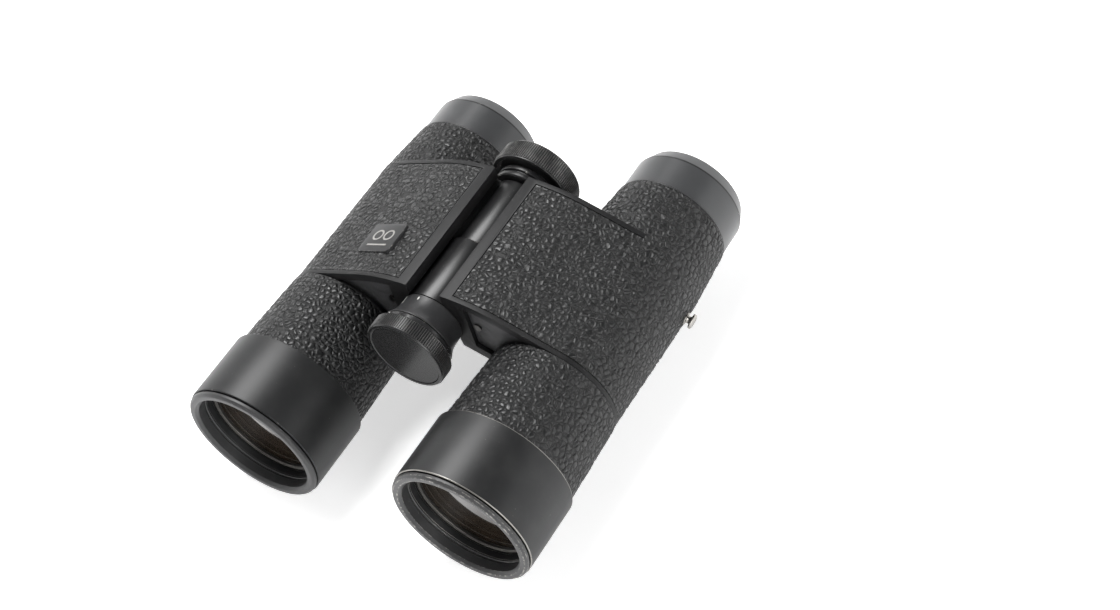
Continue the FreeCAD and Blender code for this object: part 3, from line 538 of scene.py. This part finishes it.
def frontSkin(name, side):
    turns = round(2 * math.pi * skin["frontRadius"] / skin["pitch"])
    columns = [(side * barrelX, 2 * math.pi * step / turns) for step in range(turns)]
    first = skin["hoodEnd"] + skin["seam"]
    last = skin["tubeEnd"] - skin["seam"]

    def spotAt(column, station):
        share = (station - first) / (last - first)
        radius = (skin["frontRadius"] + (skin["rearRadius"] - skin["frontRadius"]) * share - skin["sink"]) * mm
        return (column[0] + radius * math.cos(column[1]), frontRim + station * mm,
                barrelZ + radius * math.sin(column[1]))

    stations = spread(first, last, skin["pitch"])
    grainedSheet(f"{name}_front_skin", side, columns, [(0, turns, stations)], spotAt,
                 [f"{name}_leather_front"])


def bodySkin(name, side):
    axisX = barrelX / mm
    barrel = wing["barrel"] - skin["sink"]
    crown = wing["crown"] - skin["sink"]
    crownZ = ((axisX - wing["inner"]) * math.sin(wing["slope"]) + wing["barrel"] - wing["crown"])
    crownZ /= math.cos(wing["slope"])
    edge = wing["inner"] + wing["strip"] + skin["seam"]
    start = math.asin((edge - wing["inner"]) / crown)
    columns = []
    for angle in spread(start, wing["slope"], skin["pitch"] / crown)[:-1]:
        columns.append(("spot", wing["inner"] + crown * math.sin(angle), crownZ + crown * math.cos(angle)))
    slopeEnd = (wing["inner"] + crown * math.sin(wing["slope"]), crownZ + crown * math.cos(wing["slope"]))
    meeting = (axisX + barrel * math.sin(wing["slope"]), barrel * math.cos(wing["slope"]))
    run = math.dist(slopeEnd, meeting)
    for share in spread(0, 1, skin["pitch"] / run)[:-1]:
        columns.append(("spot", slopeEnd[0] + (meeting[0] - slopeEnd[0]) * share,
                        slopeEnd[1] + (meeting[1] - slopeEnd[1]) * share))
    meets = len(columns)
    top = math.pi / 2 - wing["slope"]
    for angle in spread(top, -math.pi / 2, skin["pitch"] / barrel)[:-1]:
        columns.append(("turn", angle))
    bottom = len(columns)
    for angle in spread(-math.pi / 2, top - 2 * math.pi, skin["pitch"] / barrel):
        columns.append(("turn", angle))
    ring = len(columns) - 1
    for x in spread(axisX, wing["foot"], skin["pitch"]):
        columns.append(("spot", x, -barrel))
    tailEnd = (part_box("left_leather_body")[1].y - frontRim) / mm
    tailStart = tailEnd - wing["tailLength"]
    front = (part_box("left_body_housing")[0].y - frontRim) / mm + wing["border"] + skin["seam"]
    border = tailStart - wing["border"] - skin["seam"]

    def spotAt(column, station):
        if column[0] == "spot":
            x, z = column[1:]
        else:
            fall = max(0.0, station - tailStart) / wing["tailLength"] * (wing["barrel"] - wing["tail"])
            x = axisX + (barrel - fall) * math.cos(column[1])
            z = (barrel - fall) * math.sin(column[1])
        return (side * x * mm, frontRim + station * mm, barrelZ + z * mm)

    main = spread(front, border, skin["pitch"])
    step = [border, tailStart]
    tail = spread(tailStart, tailEnd, skin["pitch"])
    patches = [(0, meets, main), (meets, bottom, main), (meets, bottom, step), (meets, ring, tail),
               (ring + 1, len(columns) - 1, main), (ring + 1, len(columns) - 1, step)]
    grainedSheet(f"{name}_body_skin", side, columns, patches, spotAt, [f"{name}_leather_body"])


grain = grainTree()
for name, side in sides:
    frontSkin(name, side)
    bodySkin(name, side)
print("leather grained")


lip = {"opening": 19.1, "outer": 22.1, "spigot": 20.6, "chamfer": 1.0, "length": 1.6, "seat": 5.0,
       "groove": (3.8, 4.4), "grooveDepth": 0.18}
hood = {"radius": 22.5, "front": 2.0, "rear": 24.1, "cell": 20.4, "throat": 7.0, "round": 0.28}
pair = {"radius": 18.2, "front": 8.4, "frontSag": -1.1, "rear": 15.5, "rearSag": -0.4}
retainer = {"inner": 17.5, "outer": 18.9, "front": 7.0, "step": 7.3, "rear": 8.28}
ocular = {"tube": 16.6, "radius": 18.2, "collar": 18.45, "front": 119.9, "band": 130.9, "rim": 16.4,
          "rear": 135.4, "mouth": 13.5, "opening": 11.5, "mouthDepth": 2.4, "cover": 4.9}
sleeve = {"lens": 13.0, "outer": 15.0, "front": 123.0, "rear": 130.5, "opening": 11.8, "seat": 129.92}
eyeLens = {"radius": 13.0, "front": 125.2, "frontSag": -2.0, "rear": 129.8, "rearSag": 0.4}


# each corner of a turned part: radius, distance behind the front rim, rounding
def objectiveEnd(name, side):
    x = side * barrelX
    worn = {part: finishes[part + "Worn" if side > 0 else part] for part in ("lip", "hood")}
    grooveFoot = lip["opening"] + lip["grooveDepth"]
    grooveFront, grooveRear = lip["groove"]
    turnedPiece(f"{name}_lip", [
        (lip["opening"], lip["chamfer"], 0.15), (lip["opening"] + 0.85, 0.0, 0.45), (lip["outer"] - 0.7, 0.0, 0.5),
        (lip["outer"], 0.75, 0.35), (lip["outer"], lip["length"], 0.15), (lip["spigot"], lip["length"], 0.05),
        (lip["spigot"], lip["seat"], 0.05), (lip["opening"], lip["seat"], 0.05),
        (lip["opening"], grooveRear + 0.1, 0.05),
        (grooveFoot, grooveRear - 0.1, 0.05), (grooveFoot, grooveFront + 0.1, 0.05),
        (lip["opening"], grooveFront - 0.1, 0.05),
    ], x, barrelZ, f"{name}_half", [f"{name}_front_ring"], worn["lip"], 220)
    turnedPiece(f"{name}_hood", [
        (lip["spigot"], hood["front"], 0.05), (hood["radius"], hood["front"], hood["round"]),
        (hood["radius"], hood["rear"], 0.22), (hood["cell"], hood["rear"], 0.05),
        (hood["cell"], hood["throat"], 0.05), (lip["opening"], hood["throat"], 0.05),
        (lip["opening"], lip["seat"], 0.05), (lip["spigot"], lip["seat"], 0.05),
    ], x, barrelZ, f"{name}_half", [f"{name}_objective_hood"], worn["hood"], 220)
    turnedPiece(f"{name}_glass_ring", [
        (retainer["inner"], retainer["front"] + 0.35, 0.1), (retainer["inner"] + 0.4, retainer["front"], 0.1),
        (retainer["outer"] - 0.35, retainer["front"], 0.08),
        (retainer["outer"] - 0.35, retainer["step"], 0.05), (retainer["outer"], retainer["step"], 0.05),
        (retainer["outer"], retainer["rear"], 0.05),
        (retainer["inner"], retainer["rear"], 0.1),
    ], x, barrelZ, f"{name}_half", [f"{name}_objective_retainer"], finishes["ringMetal"], 200)
    turnedPiece(f"{name}_front_glass", lensCorners(pair), x, barrelZ, f"{name}_half",
                [f"{name}_objective_crown", f"{name}_objective_flint"], (frontGlass,), 120)


def lensCorners(glass):
    corners = []
    for edge, sag, steps in ((glass["front"], glass["frontSag"], range(12, -1, -1)),
                             (glass["rear"], glass["rearSag"], range(13))):
        for step in steps:
            share = step / 12
            corners.append((glass["radius"] * (1 - share) if step < 12 else 0.0,
                            edge + sag * (1 - (1 - share) ** 2), 0))
    return corners


def eyeEnd(name, side):
    x = side * barrelX
    rear = ocular["rear"]
    turnedPiece(f"{name}_eye_cup", [
        (ocular["tube"], ocular["front"], 0.05), (ocular["collar"], ocular["front"], 0.15),
        (ocular["collar"], ocular["front"] + 0.35, 0.12), (ocular["radius"], ocular["front"] + 0.6, 0.15),
        (ocular["radius"], ocular["band"], 1.5), (ocular["rim"], rear - 0.5, 0.5),
        (ocular["rim"] - 0.6, rear, 0.4), (ocular["mouth"], rear, 0.5),
        (ocular["opening"], rear - ocular["mouthDepth"], 0.4), (ocular["opening"], rear - ocular["cover"], 0.05),
        (ocular["tube"], rear - ocular["cover"], 0.05),
    ], x, barrelZ, f"{name}_half", [f"{name}_ocular_ring"], finishes["ocular"], 200)
    turnedPiece(f"{name}_eye_sleeve", [
        (sleeve["lens"], sleeve["front"], 0.1), (sleeve["outer"], sleeve["front"], 0.1),
        (sleeve["outer"], sleeve["rear"], 0.05), (sleeve["opening"], sleeve["rear"], 0.15),
        (sleeve["opening"], sleeve["seat"], 0.05), (sleeve["lens"], sleeve["seat"], 0.05),
    ], x, barrelZ, f"{name}_half", [f"{name}_eye_retainer"], finishes["inner"], 120)
    turnedPiece(f"{name}_eye_glass", lensCorners(eyeLens), x, barrelZ, f"{name}_half", [f"{name}_eye_lens"],
                (frontGlass,), 120)


for name, side in sides:
    objectiveEnd(name, side)
    eyeEnd(name, side)
print("barrel ends turned")


collar = {"bore": 6.5, "radius": 10.3, "front": 101.0, "rear": 105.3, "groove": 0.75}
neck = {"bore": 4.5, "front": 43.4, "rear": 51.6, "flared": 11.6, "end": 9.8, "axle": 47.0}
knob = {"face": 36.2, "dip": 0.2, "radius": 13.0, "ridge": 0.3, "rear": 41.4, "step": 11.6, "stepRear": 43.1,
        "journal": 4.45, "journalRear": 46.8, "ridges": 112}
wheel = {"bore": 2.05, "journal": 5.15, "journalFront": 99.6, "front": 105.6, "rear": 112.7, "radius": 13.6,
         "ridge": 0.3, "rim": 1.5, "dish": 1.6, "hub": 7.0, "cap": 8.0, "seat": 111.8, "ridges": 118}


def collarPiece():
    middle = (collar["front"] + collar["rear"]) / 2
    half = collar["groove"] / 2
    foot = collar["radius"] - 0.7
    turnedPiece("collar_rings", [
        (collar["bore"], collar["front"], 0.05), (collar["radius"] - 0.35, collar["front"], 0.1),
        (collar["radius"], collar["front"] + 0.5, 0.5), (collar["radius"], middle - half, 0.45),
        (foot, middle - half * 0.6, 0.1), (foot, middle + half * 0.6, 0.1),
        (collar["radius"], middle + half, 0.45), (collar["radius"], collar["rear"] - 0.5, 0.5),
        (collar["radius"] - 0.35, collar["rear"], 0.1), (collar["bore"], collar["rear"], 0.05),
    ], 0, hingeZ, "right_half", ["hinge_collar"], finishes["hinge"], 160)


def neckRadius(station):
    share = min(1.0, (neck["rear"] - station) / (neck["rear"] - neck["front"]))
    return neck["end"] + (neck["flared"] - neck["end"]) * share ** 3


def neckPiece():
    flank = [(neckRadius(station), station, 0) for station in spread(neck["rear"] - 0.2, neck["front"] + 0.3, 0.4)]
    turnedPiece("neck_sleeve", [
        (collar["bore"], neck["axle"], 0.05), (collar["bore"], neck["rear"], 0.05),
        (neckRadius(neck["rear"]) - 0.2, neck["rear"], 0.1), *flank, (neck["flared"] - 0.2, neck["front"], 0.1),
        (neck["bore"], neck["front"], 0.05), (neck["bore"], neck["axle"], 0.05),
    ], 0, hingeZ, "right_half", ["index_neck"], finishes["neck"], 160)


def knobPiece():
    flank = knob["radius"] - knob["ridge"]
    turnedPiece("dioptre_grip", [
        (0.0, knob["face"] + knob["dip"], 0), (flank - 1.3, knob["face"] + knob["dip"], 0.1),
        (flank - 1.0, knob["face"], 0.15), (flank - 0.2, knob["face"], 0.2), (flank, knob["face"] + 0.4, 0.2),
        (flank, knob["rear"] - 0.3, 0.15), (flank - 0.3, knob["rear"], 0.1), (knob["step"], knob["rear"], 0.05),
        (knob["step"], knob["stepRear"], 0.3), (knob["journal"], knob["stepRear"], 0.05),
        (knob["journal"], knob["journalRear"], 0.05), (0.0, knob["journalRear"], 0),
    ], 0, hingeZ, "dioptre", ["dioptre_knob"], finishes["knobFace"], 168)


def wheelPiece():
    flank = wheel["radius"] - wheel["ridge"]
    rim = wheel["radius"] - wheel["rim"]
    turnedPiece("focus_grip", [
        (wheel["bore"], wheel["journalFront"], 0.05), (wheel["journal"], wheel["journalFront"], 0.05),
        (wheel["journal"], wheel["front"], 0.05), (wheel["hub"], wheel["front"], 0.2),
        (wheel["hub"], wheel["front"] + wheel["dish"], 0.1), (rim - 0.5, wheel["front"] + wheel["dish"], 0.3),
        (rim, wheel["front"] + 0.1, 0.2), (flank - 0.1, wheel["front"], 0.15), (flank, wheel["front"] + 0.35, 0.15),
        (flank, wheel["rear"] - 0.35, 0.15), (flank - 0.2, wheel["rear"], 0.15), (wheel["cap"], wheel["rear"], 0.1),
        (wheel["cap"], wheel["seat"], 0.05), (wheel["bore"], wheel["seat"], 0.05),
    ], 0, hingeZ, "focus_wheel", ["focus_wheel"], finishes["wheelRim"], 168)
    turnedPiece("focus_cap", [
        (0.0, wheel["rear"] + 0.3, 0), (wheel["cap"] - 0.5, wheel["rear"] + 0.3, 0.2),
        (wheel["cap"] - 0.05, wheel["rear"] - 0.05, 0.1), (wheel["cap"], wheel["seat"], 0.05),
        (0.0, wheel["seat"], 0),
    ], 0, hingeZ, "focus_wheel", ["focus_wheel_cap"], finishes["wheelRim"], 120)


ridgeShape = {"sunk": 0.12, "foot": 0.44, "shoulder": 0.19, "crest": 0.10}  # half widths as shares of the pitch


def ridgeTree():
    tree = bpy.data.node_groups.new("ridgeRing", "GeometryNodeTree")
    face = tree.interface
    face.new_socket("Geometry", in_out="INPUT", socket_type="NodeSocketGeometry")
    face.new_socket("Count", in_out="INPUT", socket_type="NodeSocketInt")
    face.new_socket("Seed", in_out="INPUT", socket_type="NodeSocketInt")
    for name in ("Radius", "Along", "Height"):
        face.new_socket(name, in_out="INPUT", socket_type="NodeSocketFloat")
    face.new_socket("Finish", in_out="INPUT", socket_type="NodeSocketMaterial")
    face.new_socket("Geometry", in_out="OUTPUT", socket_type="NodeSocketGeometry")
    source = tree.nodes.new("NodeGroupInput").outputs
    add = adder(tree)
    turn = add("ShaderNodeMath", {0: 2 * math.pi, 1: source["Count"]}, operation="DIVIDE")
    angle = add("ShaderNodeMath", {0: add("GeometryNodeInputIndex", {}), 1: turn}, operation="MULTIPLY")
    sine = add("ShaderNodeMath", {0: angle}, operation="SINE")
    cosine = add("ShaderNodeMath", {0: angle}, operation="COSINE")
    x = add("ShaderNodeMath", {0: sine, 1: source["Radius"]}, operation="MULTIPLY")
    z = add("ShaderNodeMath", {0: cosine, 1: source["Radius"], 2: source["Height"]}, operation="MULTIPLY_ADD")
    spot = add("ShaderNodeCombineXYZ", {0: x, 1: source["Along"], 2: z})
    points = add("GeometryNodePoints", {"Count": source["Count"], "Position": spot})
    heading = add("ShaderNodeCombineXYZ", {1: angle})
    size = add("FunctionNodeRandomValue", {"Min": (0.94, 0.985, 0.80), "Max": (1.0, 1.0, 1.0),
                                           "Seed": source["Seed"]}, data_type="FLOAT_VECTOR")
    placed = add("GeometryNodeInstanceOnPoints", {"Points": points, "Instance": source["Geometry"],
                                                  "Rotation": heading, "Scale": size})
    whole = add("GeometryNodeRealizeInstances", {0: placed})
    dressed = add("GeometryNodeSetMaterial", {"Geometry": whole, "Material": source["Finish"]})
    tree.links.new(dressed, tree.nodes.new("NodeGroupOutput").inputs[0])
    return tree


def ridgePiece(name, grip, first, last, body, finish, seed):
    pitch = 2 * math.pi * grip["radius"] / grip["ridges"]
    half = (last - first) / 2
    top = grip["ridge"]
    shape = bmesh.new()
    levels = [(-ridgeShape["sunk"], pitch * ridgeShape["foot"], half),
              (top * 0.75, pitch * ridgeShape["shoulder"], half - top * 0.75),
              (top, pitch * ridgeShape["crest"], half - top * 1.05)]
    rings = []
    for height, across, along in levels:
        rings.append([shape.verts.new((x * mm, y * mm, height * mm))
                      for x, y in ((-across, -along), (across, -along), (across, along), (-across, along))])
    for lower, upper in zip(rings, rings[1:]):
        for corner in range(4):
            following = (corner + 1) % 4
            shape.faces.new([lower[corner], lower[following], upper[following], upper[corner]])
    shape.faces.new(rings[-1])
    shape.faces.new(rings[0][::-1])
    bmesh.ops.recalc_face_normals(shape, faces=shape.faces)
    mesh = bpy.data.meshes.new(name)
    shape.to_mesh(mesh)
    shape.free()
    piece = bpy.data.objects.new("ridge", mesh)
    bpy.context.scene.collection.objects.link(piece)
    modifier = piece.modifiers.new("ring", "NODES")
    modifier.node_group = ridges
    setInputs(modifier, {"Count": grip["ridges"], "Seed": seed, "Radius": (grip["radius"] - top) * mm,
                         "Along": frontRim + (first + last) / 2 * mm, "Height": hingeZ, "Finish": finish})
    closePiece(name, plainMesh(piece), body, [])


collarPiece()
neckPiece()
knobPiece()
wheelPiece()
ridges = ridgeTree()
ridgePiece("dioptre_ridges", knob, knob["face"] + 0.35, knob["rear"] - 0.2, "dioptre",
           knurlFinish("knobKnurl", knob["radius"], (0.085, 0.083, 0.08)), 3)
ridgePiece("focus_ridges", wheel, wheel["front"] + 0.3, wheel["rear"] - 0.3, "focus_wheel",
           knurlFinish("wheelKnurl", wheel["radius"], (0.15, 0.148, 0.142)), 11)
print("hinge line turned")


bevels = {"casting": 0.4, "plate": 0.12, "badge": 0.2, "steps": 3, "knuckles": (9.4, 8.3)}
for name, side in sides:
    bevelledCopy(f"{name}_body_housing", f"{name}_half",
                 finishes["housing"] + finishes["hinge"][:1], bevels["casting"], bevels["steps"], bevels["knuckles"])
    bevelledCopy(f"{name}_front_plate", f"{name}_half", finishes["plate"], bevels["plate"])
bevelledCopy("badge_plate", "right_half", finishes["badge"], bevels["badge"], bevels["steps"])
print("castings bevelled")


marks = {"line": (132, 48.2, 51.0, 0.24), "tick": (97, 49.6, 50.7, 0.22), "dot": (124, 41.9, 42.7, 0.4),
         "pitch": 0.25, "rise": 0.03}  # angle in degrees, first and last station, half width
badge = {"tilt": math.radians(20.5), "thickness": 1.25, "rise": 0.11, "ring": 2.1, "stroke": 0.62, "apart": 2.35,
         "up": 0.9, "bar": 8.6, "barDown": -3.1, "sides": 56}


def paintedMark(name, mark, radiusAt, body):
    angle, first, last, width = marks[mark]
    shape = bmesh.new()
    rows = []
    for station in spread(first, last, marks["pitch"]):
        radius = radiusAt(station)
        row = []
        for share in (-1, -0.5, 0, 0.5, 1):
            turn = math.radians(angle) + share * width / radius
            row.append(shape.verts.new((radius * mm * math.cos(turn), frontRim + station * mm,
                                        hingeZ + radius * mm * math.sin(turn))))
        rows.append(row)
    for lower, upper in zip(rows, rows[1:]):
        for step in range(4):
            shape.faces.new([lower[step], lower[step + 1], upper[step + 1], upper[step]])
    extruded = bmesh.ops.extrude_face_region(shape, geom=list(shape.faces))
    raised = [item for item in extruded["geom"] if isinstance(item, bmesh.types.BMVert)]
    for vertex in raised:
        outward = Vector((vertex.co.x, 0, vertex.co.z - hingeZ)).normalized()
        vertex.co += outward * marks["rise"] * mm
    bmesh.ops.recalc_face_normals(shape, faces=shape.faces)
    mesh = bpy.data.meshes.new(name)
    shape.to_mesh(mesh)
    shape.free()
    closePiece(name, mesh, body, [], finishes["paint"])


paintedMark("index_line", "line", neckRadius, "right_half")
paintedMark("index_tick", "tick", neckRadius, "right_half")
paintedMark("dioptre_dot", "dot", lambda station: knob["step"], "dioptre")


def badgeSign():
    shape = bmesh.new()
    section = ((0, -0.05), (0, badge["rise"] * 0.6), (0.12, badge["rise"]), (badge["stroke"] - 0.12, badge["rise"]),
               (badge["stroke"], badge["rise"] * 0.6), (badge["stroke"], -0.05))
    turns = [2 * math.pi * step / badge["sides"] for step in range(badge["sides"])]
    for sign in (-1, 1):
        loops = []
        for inset, height in section:
            radius = badge["ring"] - inset
            loops.append([shape.verts.new(((sign * badge["apart"] + radius * math.cos(turn)) * mm,
                                           (badge["up"] + radius * math.sin(turn)) * mm, height * mm))
                          for turn in turns])
        for index, loop in enumerate(loops):
            upper = loops[(index + 1) % len(loops)]
            for step in range(badge["sides"]):
                following = (step + 1) % badge["sides"]
                shape.faces.new([loop[step], loop[following], upper[following], upper[step]])
    bar = bmesh.ops.create_cube(shape, size=1)["verts"]
    for vertex in bar:
        vertex.co.x *= badge["bar"] * mm
        vertex.co.y = (vertex.co.y * badge["stroke"] + badge["barDown"]) * mm
        vertex.co.z = (badge["rise"] if vertex.co.z > 0 else -0.05) * mm
    bmesh.ops.recalc_face_normals(shape, faces=shape.faces)
    smoothByAngle(shape)
    low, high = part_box("badge_plate")
    lean, upright = math.sin(badge["tilt"]), math.cos(badge["tilt"])
    face = (low + high) / 2 + Vector((-lean, 0, upright)) * badge["thickness"] / 2 * mm
    shape.transform(Matrix(((upright, 0, -lean, face.x), (0, 1, 0, face.y), (lean, 0, upright, face.z),
                            (0, 0, 0, 1))))
    mesh = bpy.data.meshes.new("badge_sign")
    shape.to_mesh(mesh)
    shape.free()
    closePiece("badge_sign", mesh, "right_half", [], finishes["badgeSign"])


badgeSign()
print("marks painted")


stud = {"reach": 22.79, "head": 2.4, "headLength": 1.0, "neck": 1.3, "waist": 21.2, "base": 2.0, "baseFoot": 19.3,
        "baseReach": 20.5, "foot": 17.5, "station": 93.8, "tilt": math.radians(19)}
for name, side in sides:
    mesh = turnedMesh(f"{name}_stud_turned", [
        (0.0, stud["foot"], 0), (stud["neck"], stud["foot"], 0.05), (stud["neck"], stud["baseFoot"], 0.05),
        (stud["base"], stud["baseFoot"], 0.05), (stud["base"], stud["baseReach"], 0.2),
        (stud["neck"], stud["baseReach"] + 0.05, 0.1), (stud["neck"] - 0.15, stud["waist"], 0.4),
        (stud["neck"], stud["reach"] - stud["headLength"], 0.15),
        (stud["head"], stud["reach"] - stud["headLength"], 0.25), (stud["head"], stud["reach"] - 0.35, 0.3),
        (stud["head"] - 0.4, stud["reach"], 0.25), (1.1, stud["reach"], 0.1), (1.0, stud["reach"] - 0.1, 0.05),
        (0.0, stud["reach"] - 0.1, 0),
    ], 0, 0, 72)
    across, down = side * math.cos(stud["tilt"]), -math.sin(stud["tilt"])  # the studs lean down
    place = Matrix(((0, across, down * side, side * barrelX - across * frontRim),
                    (side, 0, 0, frontRim + stud["station"] * mm),
                    (0, down, across * -side, barrelZ - down * frontRim), (0, 0, 0, 1)))
    mesh.transform(place)
    closePiece(f"{name}_stud_turned", mesh, f"{name}_half", [f"{name}_strap_stud"], finishes["nickel"])
print("studs turned")


# finishes for the inner parts, which keep their shapes
stays = {
    "objective_cell": "inner", "front_tube": "inner", "focus_carrier": "inner", "prism_cradle": "inner",
    "ocular_tube": "inner", "focus_cell": "aluminium", "plate_screw": "dark",
}
for name, side in sides:
    for part, finish in stays.items():
        nodes[f"{name}_{part}"].material_slots[0].material = finishes[finish][0]
    for part in ("focus_lens", "prism_front", "prism_roof", "field_lens"):
        nodes[f"{name}_{part}"].material_slots[0].material = innerGlass
for node, finish in (("hinge_axle", "steel"), ("dioptre_screw", "steel"), ("focus_spindle", "steel"),
                     ("hinge_washer", "dark"), ("focus_spool", "brass")):
    nodes[node].material_slots[0].material = finishes[finish][0]
print("nodes dressed")


room = {"world": 0.07, "glow": 0.55, "flat": 1.2, "curve": 0.3, "wall": 0.8, "sides": 96}


def sweepMesh():  # a flat floor that curves up into a low round wall
    outline = [(room["flat"] + room["curve"] * math.sin(turn), room["curve"] * (1 - math.cos(turn)))
               for turn in spread(0, math.pi / 2, math.pi / 24)] + [(room["flat"] + room["curve"], room["wall"])]
    sides = room["sides"]
    spots = [(0, 0, 0)]
    for reach, height in outline:
        spots += [(reach * math.cos(2 * math.pi * step / sides), reach * math.sin(2 * math.pi * step / sides), height)
                  for step in range(sides)]
    faces = [(0, 1 + step, 1 + (step + 1) % sides) for step in range(sides)]
    for row in range(len(outline) - 1):
        near, far = 1 + row * sides, 1 + (row + 1) * sides
        faces += [(near + step, far + step, far + (step + 1) % sides, near + (step + 1) % sides)
                  for step in range(sides)]
    mesh = bpy.data.meshes.new("floor")
    mesh.from_pydata(spots, [], faces)
    mesh.shade_smooth()
    mesh.materials.append(Material("paleFloor", (0.92, 0.92, 0.92), 0.7, Emission_Color=(1, 1, 1, 1),
                                   Emission_Strength=room["glow"]).data)
    return mesh


floor = bpy.data.objects.new("floor", sweepMesh())
bpy.context.scene.collection.objects.link(floor)
world = bpy.data.worlds.new("studio")
world.use_nodes = True
world.node_tree.nodes["Background"].inputs["Color"].default_value = (1, 1, 1, 1)
world.node_tree.nodes["Background"].inputs["Strength"].default_value = room["world"]
bpy.context.scene.world = world


lamps = {"topBox": ((-0.36, 0.2, 0.86), (0.5, 0.45), 11.5), "sideBox": ((0.9, -0.5, 0.6), (0.5, 0.7), 5.5)}


def softBox(name, place, size, power):
    light = bpy.data.lights.new(name, "AREA")
    light.shape = "RECTANGLE"
    light.size, light.size_y = size
    light.energy = power
    lamp = bpy.data.objects.new(name, light)
    bpy.context.scene.collection.objects.link(lamp)
    lamp.location = place
    lamp.rotation_euler = (-Vector(place)).to_track_quat("-Z", "Y").to_euler()


for name, (place, size, power) in lamps.items():
    softBox(name, place, size, power)
view = {"place": (0.32496, -0.2853, 0.4848), "turn": (41.0494, 12.5094, 31.5274), "lens": 68.05, "sensor": 36}
camera = bpy.data.cameras.new("camera")
camera.lens = view["lens"]
camera.sensor_width = view["sensor"]
camera.clip_start = 0.01
eye = bpy.data.objects.new("camera", camera)
eye.location = view["place"]
eye.rotation_euler = [math.radians(angle) for angle in view["turn"]]
bpy.context.scene.collection.objects.link(eye)
bpy.context.scene.camera = eye
bpy.context.scene.view_settings.view_transform = "Standard"
print("room lit")
